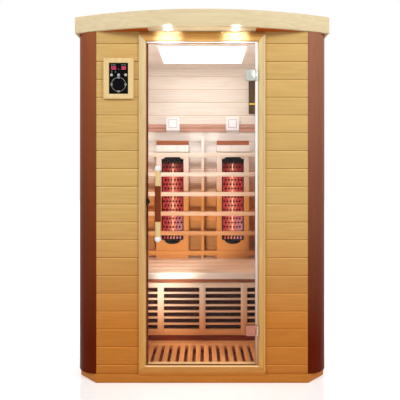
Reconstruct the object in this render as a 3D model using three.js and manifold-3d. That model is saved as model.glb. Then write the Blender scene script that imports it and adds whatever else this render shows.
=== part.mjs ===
// Infrared sauna cabin for two: a boarded timber cabin with a glass door, a bench and two upright heaters.
// Sizes are in millimetres. +X is to the right of someone facing the door, +Y runs from the door to the
// back wall, +Z is up, and the cabin stands on Z = 0.

import * as THREE from "three";
import { mergeVertices } from "three/addons/utils/BufferGeometryUtils.js";
import Module from "manifold-3d";

const wasm = await Module();
wasm.setup();

// Clearances
const seat = 0.3; // between pieces that seat on or against each other
const mitreGap = 0.5; // between mitred ends, measured upright

// Cabin
const overallWidth = 1334;
const overallDepth = 1120;
const overallHeight = 1900;
const wallThickness = 45;
const cornerRadius = 110; // outside of a corner post
const cornerFill = 25; // cut across the inside corner of a post
const frontPanelWidth = 220; // on each side of the door frame
const boardPitch = 92.2;
const firstJoint = 92; // height of the lowest joint between boards
const grooveDepth = 4;
const grooveLip = 1.5; // from the deepest line of a groove up to the board above
const boardChamfer = 6; // along the top edge of each wall board, down from that line

// Base
const baseHeight = 45;
const baseProud = 8; // ahead of the front wall
const baseInset = 6; // behind the outside of the side walls and the back wall

// Roof
const fasciaHeight = 85;
const fasciaThickness = 16;
const roofBow = 126; // middle of the front edge ahead of its corners
const canopyReach = 92; // middle of the front edge ahead of the front wall
const roofSideOverhang = 10;
const roofBackOverhang = 7;
const roofRecess = 4; // top of the roof panel below the top of the fascia
const ceilingRise = 41; // ceiling above the lower edge of the fascia
const soffitThickness = 12;
const upstandThickness = 20;

// Downlights in the canopy
const downlightSpacing = 344;
const downlightSetback = 38; // ahead of the front wall
const downlightRim = 54; // diameter
const downlightBody = 44; // diameter
const downlightRimThickness = 3;
const downlightDepth = 32;
const downlightPlay = 1; // around the body in its hole, on the diameter

// Ceiling lamp
const lampWidth = 527;
const lampDepth = 407;
const lampFromBack = 403; // middle of the lamp ahead of the back wall
const lampFrameWidth = 18;
const lampFrameDrop = 16; // below the ceiling
const lampDiffuserDrop = 11;

// Door frame
const jambWidth = 37;
const headTrim = 42;
const sillTrim = 32;
const headerStrip = 11; // between the head and the soffit
const thresholdStrip = 13; // between the base and the sill
const trimProud = 12; // ahead of the front wall

// Glass door
const glassThickness = 8;
const doorGap = 4; // around the glass on the handle side and below
const sealGap = 2; // between the top seal and the head
const sealHeight = 6; // along the top edge
const hingeSideGap = 16; // between the glass and the jamb that carries it
const sealJambGap = 3.5;
const sealThickness = 10;

// Hinges
const hingeTopInset = 174; // below the head
const hingeBottomInset = 181; // above the sill
const clampSize = 54;
const clampPlate = 8; // thickness of the outer plate
const clampBackPlate = 6;
const clampWeb = 4;
const knuckleRadius = 6;
const knuckleLength = 36; // of the part that stays with the jamb
const pinRadius = 3;
const pinPlay = 0.4; // around the pin, on the radius
const hingeAhead = 16; // pivot ahead of the front wall
const leafThickness = 2.8;
const leafDepth = 38;

// Door handle and catch
const handleInset = 62; // from the free edge of the glass
const handleHeight = 926; // middle of the bar above the floor
const handleLength = 389;
const handleRadius = 13.5;
const handleKnobProud = 3.5; // round ends wider than the bar, on the radius
const handleStandoff = 50; // axis of the bar ahead of the front wall
const handlePostInset = 28; // post from the end of the bar
const handlePostRadius = 9;
const gripLength = 180;
const gripRadius = 15.5;
const gripCore = 10; // radius of the bar inside the grip
const catchHeight = 935;
const catchRadius = 19;
const catchThickness = 14;

// Control unit
const controlDrop = 245; // middle of the unit below the top of the front wall
const controlShift = 7; // from the middle of the front panel towards the door
const controlWidth = 155;
const controlTall = 210;
const controlPanelWidth = 98;
const controlPanelTall = 159;
const controlFrameProud = 14;
const controlPanelProud = 9;
const keyRadius = 7;
const keySpacing = 36.4;
const keyRise = 18; // above the middle of the unit
const keyProud = 1.5;
const keyDepth = 7;
const keyPlay = 0.5; // around a key, on the radius

// Floor grid
const floorTop = 85;
const gridThickness = 20;
const gridPitch = 44.8;
const gridSlot = 18;
const gridSlotStart = 58; // behind the front wall
const gridRearMargin = 56; // between the slots and the bench
const gridBearerWidth = 14;
const gridBearerSetback = 67; // middle bearer ahead of the bench

// Bench
const benchTop = 495;
const benchDepth = 490; // ahead of the backrest
const benchThickness = 38;
const benchBoard = 123; // pitch of the seat boards
const seatGrooveHalf = 3; // half the width of a groove in the seat
const benchNose = 16; // seat ahead of the bench front
const benchFrontThickness = 18;
const benchRecess = 12; // toe board and top rail behind the slatted part
const grilleBottom = 119;
const grilleTopRail = 29;
const grilleBottomRail = 35;
const grilleStile = 37;
const grilleBay = 249; // pitch of the stiles
const grilleGap = 27;
const grilleSlat = 10;
const grilleSlots = 7; // slots above each other
const benchHeaterMargin = 14; // beyond the slots
const benchHeaterThickness = 8;

// Backrest
const backrestDepth = 127; // face of the slats ahead of the back wall
const slatCount = 6;
const slatPitch = 137;
const slatHeight = 30;
const slatThickness = 16;
const firstSlatRise = 41; // middle of the lowest slat above the bench
const battenWidth = 20;
const battenRise = 853; // top above the bench

// Heaters
const heaterSpacing = 424;
const heaterBoxWidth = 228;
const heaterBoxRise = 794; // top above the bench
const heaterWidth = 154;
const heaterHeight = 565;
const heaterRise = 133; // bottom above the bench
const heaterCapHeight = 47; // front of the box above the top slat
const guardBulge = 24;
const guardThickness = 2;
const guardColumns = 5;
const guardRows = 8;
const guardSegments = 3; // along half of the guard's curve
const guardBar = 6; // metal left between the openings
const trayWall = 2;
const tubeRadius = 6;
const tubeSetback = 22; // axis behind the front edge of the tray
const headrestWidth = 226;
const headrestHeight = 32;
const headrestDepth = 60;

// Fittings on the back wall
const wallLampSize = 95;
const wallLampDepth = 30;
const wallLampSpacing = 430;
const wallLampRise = 129; // middle of a lamp above the headrests
const wallBoardWidth = 100;
const wallBoardTall = 243;
const wallBoardThickness = 14;
const wallBoardFromMiddle = 383;
const wallBoardDrop = 90; // top of the board below the ceiling
const wallBarHeight = 10;
const wallBarProud = 8;
const wallBarRise = 65; // above the lower edge of the board
const wallBarInset = 4; // from the sides of the board

// Power unit under the bench
const powerWidth = 260;
const powerDepth = 70;
const powerHeight = 160;
const powerFromSide = 282; // middle of the unit from the side wall
const powerBottom = 150;
const glandRadius = 10;
const glandFlange = 17; // radius
const glandFlangeThickness = 5;

const roundSegments = 20; // around a full turn
const bowSegments = 12; // along half of the roof's bow

// Shared places, worked out from the sizes above
const roofHalf = overallWidth / 2;
const bodyHalf = roofHalf - roofSideOverhang;
const frontY = canopyReach - overallDepth / 2; // outside of the front wall
const roofBackY = overallDepth / 2;
const backY = roofBackY - roofBackOverhang; // outside of the back wall
const wallTop = overallHeight - fasciaHeight;
const ceilingZ = wallTop + ceilingRise;
const seamX = bodyHalf - cornerRadius; // where front panel and corner post meet
const seamY = frontY + cornerRadius; // where corner post and side wall meet
const innerX = bodyHalf - wallThickness;
const innerFrontY = frontY + wallThickness;
const innerBackY = backY - wallThickness;
const roomHalf = innerX - seat; // half length of what spans the room
const backrestY = innerBackY - backrestDepth;
const benchY = backrestY - benchDepth;
const powerX = innerX - powerFromSide;
const frameHalf = seamX - frontPanelWidth; // outside of the door frame
const doorwayHalf = frameHalf - jambWidth;
const trimTop = wallTop - headerStrip;
const trimBottom = baseHeight + thresholdStrip;
const doorwayTop = trimTop - headTrim;
const doorwayBottom = trimBottom + sillTrim;

// Finishes
const hemlock = { color: 0xd3ae6c, roughness: 0.5, metalness: 0 };
const maple = { color: 0xe5d3a5, roughness: 0.4, metalness: 0 };
const trimWood = { color: 0xdcc594, roughness: 0.45, metalness: 0 };
const postWood = { color: 0x824331, roughness: 0.35, metalness: 0 };
const roomWood = { color: 0xeed9c6, roughness: 0.6, metalness: 0 };
const benchWood = { color: 0xe1b48c, roughness: 0.55, metalness: 0 };
const darkWood = { color: 0x783723, roughness: 0.5, metalness: 0 };
const chrome = { color: 0xc9c7c2, roughness: 0.2, metalness: 1 };
const trayMetal = { color: 0xb0302a, roughness: 0.35, metalness: 0.9 };
const guardMetal = { color: 0x2a1414, roughness: 0.5, metalness: 0.8 };
const clearGlass = { color: 0xe8efec, roughness: 0.05, metalness: 0, transparent: true, opacity: 0.25 };
const tubeGlass = { color: 0xffb9a0, roughness: 0.2, metalness: 0 };
const whitePlastic = { color: 0xf2f1ee, roughness: 0.4, metalness: 0 };
const lampWhite = { color: 0xffffff, roughness: 0.6, metalness: 0 };
const blackPlastic = { color: 0x0d0d0f, roughness: 0.25, metalness: 0 };
const blackRubber = { color: 0x151515, roughness: 0.8, metalness: 0 };
const keyPlastic = { color: 0xd8d8da, roughness: 0.4, metalness: 0 };
const carbonBlack = { color: 0x171412, roughness: 0.7, metalness: 0 };
const unitGrey = { color: 0x55585c, roughness: 0.5, metalness: 0.2 };

// A named mesh with its own material, in a group.
function add(parent, name, geometry, finish) {
  const mesh = new THREE.Mesh(geometry, new THREE.MeshStandardMaterial(finish));
  mesh.name = name;
  parent.add(mesh);
  return mesh;
}

// A group at a place, in another group.
function place(parent, x, y, z) {
  const group = new THREE.Group();
  group.position.set(x, y, z);
  parent.add(group);
  return group;
}

// A box between two bounds on each axis.
function block([x0, x1], [y0, y1], [z0, z1]) {
  const box = new THREE.BoxGeometry(x1 - x0, y1 - y0, z1 - z0);
  return box.translate((x0 + x1) / 2, (y0 + y1) / 2, (z0 + z1) / 2);
}

function extrude(outline, depth, curveSegments = roundSegments / 4) {
  return new THREE.ExtrudeGeometry(outline, { depth, bevelEnabled: false, curveSegments });
}

// An outline in X and Y, raised from one height to another.
function raise(outline, [z0, z1], curveSegments) {
  return extrude(outline, z1 - z0, curveSegments).translate(0, 0, z0);
}

// An outline in X and Z, thick from one Y to another.
function thicken(outline, [y0, y1]) {
  return extrude(outline, y1 - y0).rotateX(Math.PI / 2).translate(0, y1, 0);
}

// A profile in Y and Z, run along X.
function runAlongX(profile, [x0, x1]) {
  const turn = new THREE.Matrix4().makeBasis(
    new THREE.Vector3(0, 1, 0),
    new THREE.Vector3(0, 0, 1),
    new THREE.Vector3(1, 0, 0),
  );
  return extrude(profile, x1 - x0).applyMatrix4(turn).translate(x0, 0, 0);
}

// A cylinder along Y.
function rodAlongY(radius, [y0, y1], x = 0, z = 0) {
  const rod = new THREE.CylinderGeometry(radius, radius, y1 - y0, roundSegments);
  return rod.translate(x, (y0 + y1) / 2, z);
}

// A cylinder along Z.
function rodAlongZ(radius, [z0, z1], x = 0, y = 0) {
  const rod = new THREE.CylinderGeometry(radius, radius, z1 - z0, roundSegments);
  return rod.rotateX(Math.PI / 2).translate(x, y, (z0 + z1) / 2);
}

// A profile of [radius, height] pairs turned around Z.
function turned(profile) {
  const points = profile.map(([radius, height]) => new THREE.Vector2(radius, height));
  return new THREE.LatheGeometry(points, roundSegments).rotateX(Math.PI / 2);
}

function polygon(points) {
  return new THREE.Shape(points.map(([x, y]) => new THREE.Vector2(x, y)));
}

function rectangle([x0, x1], [y0, y1]) {
  return polygon([[x0, y0], [x1, y0], [x1, y1], [x0, y1]]);
}

function solid(geometry) {
  const bare = geometry.clone();
  bare.deleteAttribute("normal");
  bare.deleteAttribute("uv");
  const merged = mergeVertices(bare);
  const vertProperties = merged.attributes.position.array;
  const triVerts = new Uint32Array(merged.index.array);
  return new wasm.Manifold(new wasm.Mesh({ numProp: 3, vertProperties, triVerts }));
}

function surface(shape) {
  const mesh = shape.getMesh();
  const indexed = new THREE.BufferGeometry();
  indexed.setAttribute("position", new THREE.BufferAttribute(mesh.vertProperties, 3));
  indexed.setIndex(new THREE.BufferAttribute(mesh.triVerts, 1));
  const faceted = indexed.toNonIndexed();
  faceted.computeVertexNormals();
  return faceted;
}

// The first geometry with the others joined to it.
function join(first, ...others) {
  return surface(others.reduce((whole, other) => whole.add(solid(other)), solid(first)));
}

// A geometry with others cut out of it.
function cut(geometry, ...cutters) {
  return surface(cutters.reduce((whole, cutter) => whole.subtract(solid(cutter)), solid(geometry)));
}

// What two geometries have in common.
function common(first, second) {
  return surface(solid(first).intersect(solid(second)));
}

// Joints between boards that lie between two heights.
function jointHeights(bottom, top) {
  const heights = [];
  for (let z = firstJoint; z + grooveLip < top; z += boardPitch) {
    if (z - boardChamfer > bottom) heights.push(z);
  }
  return heights;
}

// One grooved face of a wall, from the bottom up. Depth is measured across the wall.
function groovedFace(face, inward, bottom, top) {
  const notches = jointHeights(bottom, top).flatMap((z) => [
    [face, z - boardChamfer],
    [face + inward * grooveDepth, z],
    [face, z + grooveLip],
  ]);
  return [[face, bottom], ...notches, [face, top]];
}

// Wall profile with boards on both faces. A shoulder below the top leaves room for the roof's fascia.
function boardedProfile(outer, inner, bottom, top, shoulder = { depth: 0, height: top }) {
  const inward = Math.sign(inner - outer);
  const outside = groovedFace(outer, inward, bottom, shoulder.height);
  const inside = groovedFace(inner, -inward, bottom, top).reverse();
  const step = outer + inward * shoulder.depth;
  const ledge = shoulder.depth > 0 ? [[step, shoulder.height], [step, top]] : [];
  return polygon([...outside, ...ledge, ...inside]);
}

// Base: one panel with its front corners cut off
function addBase(cabin) {
  const side = bodyHalf - baseInset;
  const front = frontY - baseProud;
  const back = backY - baseInset;
  const cutBack = front + side - seamX;
  const outline = polygon([
    [-seamX, front], [seamX, front], [side, cutBack], [side, back], [-side, back], [-side, cutBack],
  ]);
  add(cabin, "base_panel", raise(outline, [0, baseHeight]), hemlock);
}

// Walls: two front panels, two corner posts, two side walls and the back wall
function addWalls(cabin) {
  const bottom = baseHeight + seat;
  const top = wallTop - seat;
  for (const [side, name] of [[-1, "left"], [1, "right"]]) {
    const panel = boardedProfile(frontY, innerFrontY, bottom, top);
    const reach = [frameHalf + seat, seamX - seat].map((x) => side * x).sort((a, b) => a - b);
    add(cabin, `front_panel_${name}`, runAlongX(panel, reach), hemlock);
    add(cabin, `corner_post_${name}`, raise(postOutline(side), [bottom, top]), postWood);
    add(cabin, `side_wall_${name}`, sideWall(side, bottom), hemlock);
  }
  const back = runAlongX(boardedProfile(backY, innerBackY, bottom, ceilingZ - seat), [-roomHalf, roomHalf]);
  const through = [innerBackY - 1, backY + 1];
  const glandHole = rodAlongY(glandRadius + seat, through, powerX, glandHeight());
  add(cabin, "back_wall", cut(back, glandHole), hemlock);
}

// Plan of a corner post: round outside, with the inside corner filled by a slanted face.
function postOutline(side) {
  const outline = new THREE.Shape();
  const turn = side > 0 ? [-Math.PI / 2, 0] : [-Math.PI / 2, -Math.PI];
  outline.moveTo(side * seamX, innerFrontY);
  outline.lineTo(side * seamX, frontY);
  outline.absarc(side * seamX, seamY, cornerRadius, ...turn, side < 0);
  outline.lineTo(side * innerX, seamY);
  outline.lineTo(side * innerX, innerFrontY + cornerFill);
  outline.lineTo(side * (innerX - cornerFill), innerFrontY);
  outline.closePath();
  return outline;
}

function sideWall(side, bottom) {
  const shoulder = { depth: bodyHalf - (roofHalf - fasciaThickness - seat), height: wallTop - seat };
  const profile = boardedProfile(side * bodyHalf, side * innerX, bottom, ceilingZ - seat, shoulder);
  return thicken(profile, [seamY + seat, backY]);
}

// Circle that the front edge of the roof follows
function bowCircle() {
  const radius = (roofHalf ** 2 + roofBow ** 2) / (2 * roofBow);
  return { radius, centreY: -overallDepth / 2 + radius };
}

// Starts an outline with the roof's bow, moved inward, from the left limit to the right one.
function bowOutline(inset, half) {
  const { radius, centreY } = bowCircle();
  const swing = Math.asin(half / (radius - inset));
  const outline = new THREE.Shape();
  outline.absarc(0, centreY, radius - inset, -Math.PI / 2 - swing, -Math.PI / 2 + swing, false);
  return outline;
}

function bowY(inset, x) {
  const { radius, centreY } = bowCircle();
  return centreY - Math.sqrt((radius - inset) ** 2 - x ** 2);
}

// Roof: bowed front fascia, two side fascias, canopy soffit and the roof panel
function addRoof(cabin) {
  const within = roofHalf - fasciaThickness - seat;
  const inset = fasciaThickness + seat;
  add(cabin, "fascia_front", frontFascia(), maple);
  const sideStart = bowY(fasciaThickness, roofHalf) + seat;
  for (const [side, name] of [[-1, "left"], [1, "right"]]) {
    const x = [roofHalf - fasciaThickness, roofHalf].map((edge) => side * edge).sort((a, b) => a - b);
    add(cabin, `fascia_${name}`, block(x, [sideStart, roofBackY], [wallTop, overallHeight]), maple);
  }
  const panel = bowOutline(inset, within);
  panel.lineTo(within, roofBackY);
  panel.lineTo(-within, roofBackY);
  panel.closePath();
  const panelHeights = [ceilingZ, overallHeight - roofRecess];
  add(cabin, "roof_panel", raise(panel, panelHeights, bowSegments), roomWood);
  add(cabin, "canopy_soffit", canopySoffit(inset, within), trimWood);
  for (const [side, name] of [[-1, "left"], [1, "right"]]) {
    const spot = place(cabin, (side * downlightSpacing) / 2, frontY - downlightSetback, wallTop);
    add(spot, `downlight_${name}`, downlight(), chrome);
  }
}

function frontFascia() {
  const { radius, centreY } = bowCircle();
  const innerRadius = radius - fasciaThickness;
  const swing = Math.asin(roofHalf / innerRadius);
  const outline = bowOutline(0, roofHalf);
  outline.absarc(0, centreY, innerRadius, -Math.PI / 2 + swing, -Math.PI / 2 - swing, true);
  outline.closePath();
  return raise(outline, [wallTop, overallHeight], bowSegments);
}

// Soffit over the front wall and the corner posts, with an upstand around the room.
function canopySoffit(inset, within) {
  const plan = bowOutline(inset, within);
  const room = [
    [innerX, seamY], [innerX, innerFrontY], [-innerX, innerFrontY], [-innerX, seamY],
  ];
  for (const [x, y] of [[within, seamY], ...room, [-within, seamY]]) plan.lineTo(x, y);
  plan.closePath();
  const outer = innerX + upstandThickness;
  const upstand = polygon([
    [-outer, seamY], [-outer, innerFrontY - upstandThickness],
    [outer, innerFrontY - upstandThickness], [outer, seamY], ...room,
  ]);
  const board = raise(plan, [wallTop, wallTop + soffitThickness], bowSegments);
  const rimHeights = [wallTop, ceilingZ - seat];
  const rim = common(raise(upstand, rimHeights), raise(plan, rimHeights, bowSegments));
  const holes = [-1, 1].map((side) => rodAlongZ(
    (downlightBody + downlightPlay) / 2,
    [wallTop - 1, wallTop + soffitThickness + 1],
    (side * downlightSpacing) / 2,
    frontY - downlightSetback,
  ));
  return cut(join(board, rim), ...holes);
}

function downlight() {
  const rim = downlightRim / 2;
  const body = downlightBody / 2;
  return turned([
    [0, -downlightRimThickness - seat], [rim, -downlightRimThickness - seat], [rim, -seat],
    [body, -seat], [body, downlightDepth], [0, downlightDepth],
  ]);
}

// Ceiling lamp: slim frame and white diffuser
function addCeilingLamp(cabin) {
  const lamp = place(cabin, 0, innerBackY - lampFromBack, ceilingZ - seat);
  const x = lampWidth / 2;
  const y = lampDepth / 2;
  const outerX = x + lampFrameWidth;
  const outerY = y + lampFrameWidth;
  const frame = rectangle([-outerX, outerX], [-outerY, outerY]);
  frame.holes.push(rectangle([-x, x], [-y, y]));
  add(lamp, "ceiling_lamp_frame", raise(frame, [-lampFrameDrop, 0]), trimWood);
  const pane = block([seat - x, x - seat], [seat - y, y - seat], [-lampDiffuserDrop, 0]);
  add(lamp, "ceiling_lamp_diffuser", pane, lampWhite);
}

// Door frame: mitred jambs, head and sill
function addDoorFrame(cabin) {
  const depth = [frontY - trimProud, innerFrontY];
  const flush = [frontY, innerFrontY];
  const width = [-frameHalf, frameHalf];
  for (const [side, name] of [[-1, "left"], [1, "right"]]) {
    const jamb = polygon([
      [side * frameHalf, trimBottom + mitreGap], [side * doorwayHalf, doorwayBottom + mitreGap],
      [side * doorwayHalf, doorwayTop - mitreGap], [side * frameHalf, trimTop - mitreGap],
    ]);
    add(cabin, `door_jamb_${name}`, thicken(jamb, depth), trimWood);
  }
  const head = polygon([
    [-frameHalf, trimTop], [-doorwayHalf, doorwayTop], [doorwayHalf, doorwayTop], [frameHalf, trimTop],
  ]);
  const header = block(width, flush, [trimTop, wallTop - seat]);
  add(cabin, "door_head", join(thicken(head, depth), header), trimWood);
  const sill = polygon([
    [-frameHalf, trimBottom], [frameHalf, trimBottom],
    [doorwayHalf, doorwayBottom], [-doorwayHalf, doorwayBottom],
  ]);
  const threshold = block(width, depth, [baseHeight + seat, trimBottom]);
  add(cabin, "door_sill", join(thicken(sill, depth), threshold), trimWood);
}

// Heights of the two hinges
function hingeHeights() {
  return { upper: doorwayTop - hingeTopInset, lower: doorwayBottom + hingeBottomInset };
}

const pivotX = doorwayHalf - knuckleRadius;
const glassEdge = doorwayHalf - hingeSideGap; // edge of the glass at the hinges
const glassHalf = glassThickness / 2;

// Glass door: pane, edge seal, handle and hinge clamps. Y is measured from the front wall.
function addDoor(cabin) {
  const door = place(cabin, 0, frontY, 0);
  const left = doorGap - doorwayHalf;
  const bottom = doorwayBottom + doorGap;
  const top = doorwayTop - sealGap - sealHeight - seat;
  add(door, "door_glass", block([left, glassEdge], [-glassHalf, glassHalf], [bottom, top]), clearGlass);
  add(door, "door_seal", doorSeal(left, bottom, top), whitePlastic);
  const handle = place(door, left + handleInset, -handleStandoff, handleHeight);
  add(handle, "door_handle", handleBar(), maple);
  add(handle, "handle_grip", handleGrip(), darkWood);
  for (const [name, z] of Object.entries(hingeHeights())) {
    const hinge = place(door, pivotX, 0, z);
    add(hinge, `hinge_clamp_${name}`, hingeClamp(), chrome);
  }
}

// Seal along the hinge edge and the top edge, notched around the hinge clamps.
function doorSeal(left, bottom, top) {
  const half = sealThickness / 2;
  const outer = doorwayHalf - sealJambGap;
  const upright = block([glassEdge + seat, outer], [-half, half], [bottom, top + seat + sealHeight]);
  const along = block([left, outer], [-half, half], [top + seat, top + seat + sealHeight]);
  const notches = Object.values(hingeHeights()).map((z) => block(
    [glassEdge, glassEdge + clampWeb + 2 * seat],
    [-sealThickness, sealThickness],
    [z - clampSize / 2 - seat, z + clampSize / 2 + seat],
  ));
  return cut(join(upright, along), ...notches);
}

// Turned bar with a round knob at each end, thinner inside the grip, on two posts that reach the glass.
function handleBar() {
  const end = handleLength / 2;
  const knobRadius = handleRadius + handleKnobProud;
  const neck = Math.PI - Math.asin(handleRadius / knobRadius); // where the knob meets the bar
  const steps = roundSegments / 4;
  const knob = [];
  for (let i = 0; i <= steps; i += 1) {
    const angle = (i / steps) * neck;
    knob.push([knobRadius * Math.sin(angle), end - knobRadius + knobRadius * Math.cos(angle)]);
  }
  const step = gripLength / 2 + seat;
  const upper = [...knob, [handleRadius, step], [gripCore, step]];
  upper[0][0] = 0;
  const lower = upper.map(([radius, height]) => [radius, -height]);
  const bar = turned([...lower, ...upper.reverse()]);
  const postReach = [0, handleStandoff - glassHalf - seat];
  const postHeights = [handlePostInset - end, end - handlePostInset];
  const posts = postHeights.map((z) => rodAlongY(handlePostRadius, postReach, 0, z));
  return join(bar, ...posts);
}

function handleGrip() {
  const half = gripLength / 2;
  const sleeve = rodAlongZ(gripRadius, [-half, half]);
  return cut(sleeve, rodAlongZ(gripCore + seat, [-half - 1, half + 1]));
}

// Clamp around the glass edge with a knuckle above and below the bracket. The pivot is at X = 0.
function hingeClamp() {
  const half = clampSize / 2;
  const edge = glassEdge - pivotX;
  const x = [edge + seat + clampWeb - clampSize, edge + seat + clampWeb];
  const outside = -glassHalf - seat;
  const inside = glassHalf + seat;
  const front = block(x, [outside - clampPlate, outside], [-half, half]);
  const back = block(x, [inside, inside + clampBackPlate], [-half, half]);
  const web = block([edge + seat, x[1]], [outside - clampPlate, inside + clampBackPlate], [-half, half]);
  const knuckleStart = knuckleLength / 2 + seat;
  const knuckles = [[knuckleStart, half], [-half, -knuckleStart]].flatMap((z) => [
    rodAlongZ(knuckleRadius, z, 0, -hingeAhead),
    block([edge, 0], [-hingeAhead, -sealThickness / 2 - seat], z),
  ]);
  const bore = rodAlongZ(pinRadius + pinPlay, [-clampSize, clampSize], 0, -hingeAhead);
  return cut(join(front, back, web, ...knuckles), bore);
}

// Hinge brackets on the right jamb, each with its pin, and the catch on the left jamb
function addDoorFittings(cabin) {
  for (const [name, z] of Object.entries(hingeHeights())) {
    const bracket = place(cabin, pivotX, frontY, z);
    add(bracket, `hinge_bracket_${name}`, hingeBracket(), chrome);
  }
  const stop = new THREE.Shape();
  stop.absarc(0, 0, catchRadius, -Math.PI / 2, Math.PI / 2, false);
  stop.closePath();
  const behindGlass = glassHalf + seat;
  const stopPlace = place(cabin, seat - doorwayHalf, frontY, catchHeight);
  add(stopPlace, "door_catch", thicken(stop, [behindGlass, behindGlass + catchThickness]), blackRubber);
}

function hingeBracket() {
  const half = knuckleLength / 2;
  const outer = doorwayHalf - seat - pivotX;
  const barrel = rodAlongZ(knuckleRadius, [-half, half], 0, -hingeAhead);
  const pin = rodAlongZ(pinRadius, [-clampSize / 2, clampSize / 2], 0, -hingeAhead);
  const leaf = block([outer - leafThickness, outer], [-hingeAhead, leafDepth - hingeAhead], [-half, half]);
  return join(barrel, pin, leaf);
}

// Control unit on the left front panel: wooden frame, black panel and three keys
function addControl(cabin) {
  const middle = controlShift - (frameHalf + seamX) / 2;
  const unit = place(cabin, middle, frontY - seat, wallTop - controlDrop);
  const frame = rectangle([-controlWidth / 2, controlWidth / 2], [-controlTall / 2, controlTall / 2]);
  const x = controlPanelWidth / 2;
  const z = controlPanelTall / 2;
  frame.holes.push(rectangle([-x - seat, x + seat], [-z - seat, z + seat]));
  add(unit, "control_frame", thicken(frame, [-controlFrameProud, 0]), maple);
  const keys = [[-1, "left"], [0, "middle"], [1, "right"]];
  const pane = rectangle([-x, x], [-z, z]);
  for (const [side] of keys) {
    const hole = new THREE.Path();
    hole.absarc(side * keySpacing, keyRise, keyRadius + keyPlay, 0, 2 * Math.PI, false);
    pane.holes.push(hole);
  }
  add(unit, "control_panel", thicken(pane, [-controlPanelProud, 0]), blackPlastic);
  const front = -controlPanelProud - keyProud;
  for (const [side, name] of keys) {
    const key = rodAlongY(keyRadius, [front, front + keyDepth], side * keySpacing, keyRise);
    add(unit, `key_${name}`, key, keyPlastic);
  }
}

// Places of equal pitch on both sides of the middle, as far as a limit.
function spread(pitch, limit) {
  const count = Math.floor(limit / pitch);
  return Array.from({ length: 2 * count + 1 }, (_, i) => (i - count) * pitch);
}

// Floor grid: slotted boards on three bearers, with corners cut to clear the posts
function addFloorGrid(cabin) {
  const front = innerFrontY + seat;
  const back = benchY + benchNose + benchRecess - seat;
  const frontHalf = roomHalf - cornerFill;
  const plan = polygon([
    [-frontHalf, front], [frontHalf, front], [roomHalf, front + cornerFill],
    [roomHalf, back], [-roomHalf, back], [-roomHalf, front + cornerFill],
  ]);
  const slots = spread(gridPitch, roomHalf - gridSlot).map((x) => block(
    [x - gridSlot / 2, x + gridSlot / 2],
    [frontY + gridSlotStart, benchY - gridRearMargin],
    [baseHeight, floorTop + 1],
  ));
  const boards = cut(raise(plan, [floorTop - gridThickness, floorTop]), ...slots);
  const bearerHeights = [baseHeight + seat, floorTop - gridThickness / 2];
  const starts = [front, benchY - gridBearerSetback - gridBearerWidth / 2, back - gridBearerWidth];
  const bearers = starts.map((y) => block([-frontHalf, frontHalf], [y, y + gridBearerWidth], bearerHeights));
  add(cabin, "floor_grid", join(boards, ...bearers), benchWood);
}

const grilleFrontY = benchY + benchNose;
const grilleBackY = grilleFrontY + benchFrontThickness;
const grilleOpen = grilleSlots * grilleGap + (grilleSlots - 1) * grilleSlat;
const grilleOpenBottom = grilleBottom + grilleBottomRail;
const grilleTop = grilleOpenBottom + grilleOpen + grilleTopRail;

// Bench: boarded seat, slatted front and the heating panel behind it
function addBench(cabin) {
  add(cabin, "bench_seat", benchSeat(), benchWood);
  add(cabin, "bench_front", benchGrille(), benchWood);
  const reach = roomHalf - grilleStile + benchHeaterMargin;
  const heater = block(
    [-reach, reach],
    [grilleBackY + seat, grilleBackY + seat + benchHeaterThickness],
    [grilleOpenBottom - benchHeaterMargin, grilleOpenBottom + grilleOpen + benchHeaterMargin],
  );
  add(cabin, "bench_heater", heater, carbonBlack);
}

// Seat of boards that run from wall to wall, with grooves in the top.
function benchSeat() {
  const front = benchY;
  const back = innerBackY - seat;
  const bottom = benchTop - benchThickness;
  const top = [];
  for (let y = front + benchBoard; y + seatGrooveHalf < back; y += benchBoard) {
    top.push([y - seatGrooveHalf, benchTop]);
    top.push([y, benchTop - grooveDepth]);
    top.push([y + seatGrooveHalf, benchTop]);
  }
  const profile = polygon([[front, bottom], [front, benchTop], ...top, [back, benchTop], [back, bottom]]);
  return runAlongX(profile, [-roomHalf, roomHalf]);
}

// Slatted front between the walls, on a toe board and below a rail that are both set back.
function benchGrille() {
  const span = [-roomHalf, roomHalf];
  const stiles = [
    -roomHalf + grilleStile / 2,
    ...spread(grilleBay, roomHalf - 2 * grilleStile),
    roomHalf - grilleStile / 2,
  ];
  const slots = [];
  for (let bay = 1; bay < stiles.length; bay += 1) {
    const across = [stiles[bay - 1] + grilleStile / 2, stiles[bay] - grilleStile / 2];
    for (let row = 0; row < grilleSlots; row += 1) {
      const low = grilleOpenBottom + row * (grilleGap + grilleSlat);
      slots.push(block(across, [grilleFrontY - 1, grilleBackY + 1], [low, low + grilleGap]));
    }
  }
  const face = cut(block(span, [grilleFrontY, grilleBackY], [grilleBottom, grilleTop]), ...slots);
  const behind = [grilleFrontY + benchRecess, grilleBackY + benchRecess];
  const lap = grilleBottomRail / 4;
  const toe = block(span, behind, [baseHeight + seat, grilleBottom + lap]);
  const rail = block(span, behind, [grilleTop - lap, benchTop - benchThickness - seat]);
  return join(face, toe, rail);
}

const slatBackY = backrestY + slatThickness;

// Backrest: slats from wall to wall and the upright batten behind them
function addBackrest(cabin) {
  const y = [backrestY, slatBackY];
  for (let i = 0; i < slatCount; i += 1) {
    const middle = benchTop + firstSlatRise + i * slatPitch;
    const z = [middle - slatHeight / 2, middle + slatHeight / 2];
    add(cabin, `backrest_slat_${i + 1}`, block([-roomHalf, roomHalf], y, z), roomWood);
  }
  const batten = block(
    [-battenWidth / 2, battenWidth / 2],
    [slatBackY + seat, innerBackY - seat],
    [benchTop + seat, benchTop + battenRise],
  );
  add(cabin, "backrest_batten", batten, roomWood);
}

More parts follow.
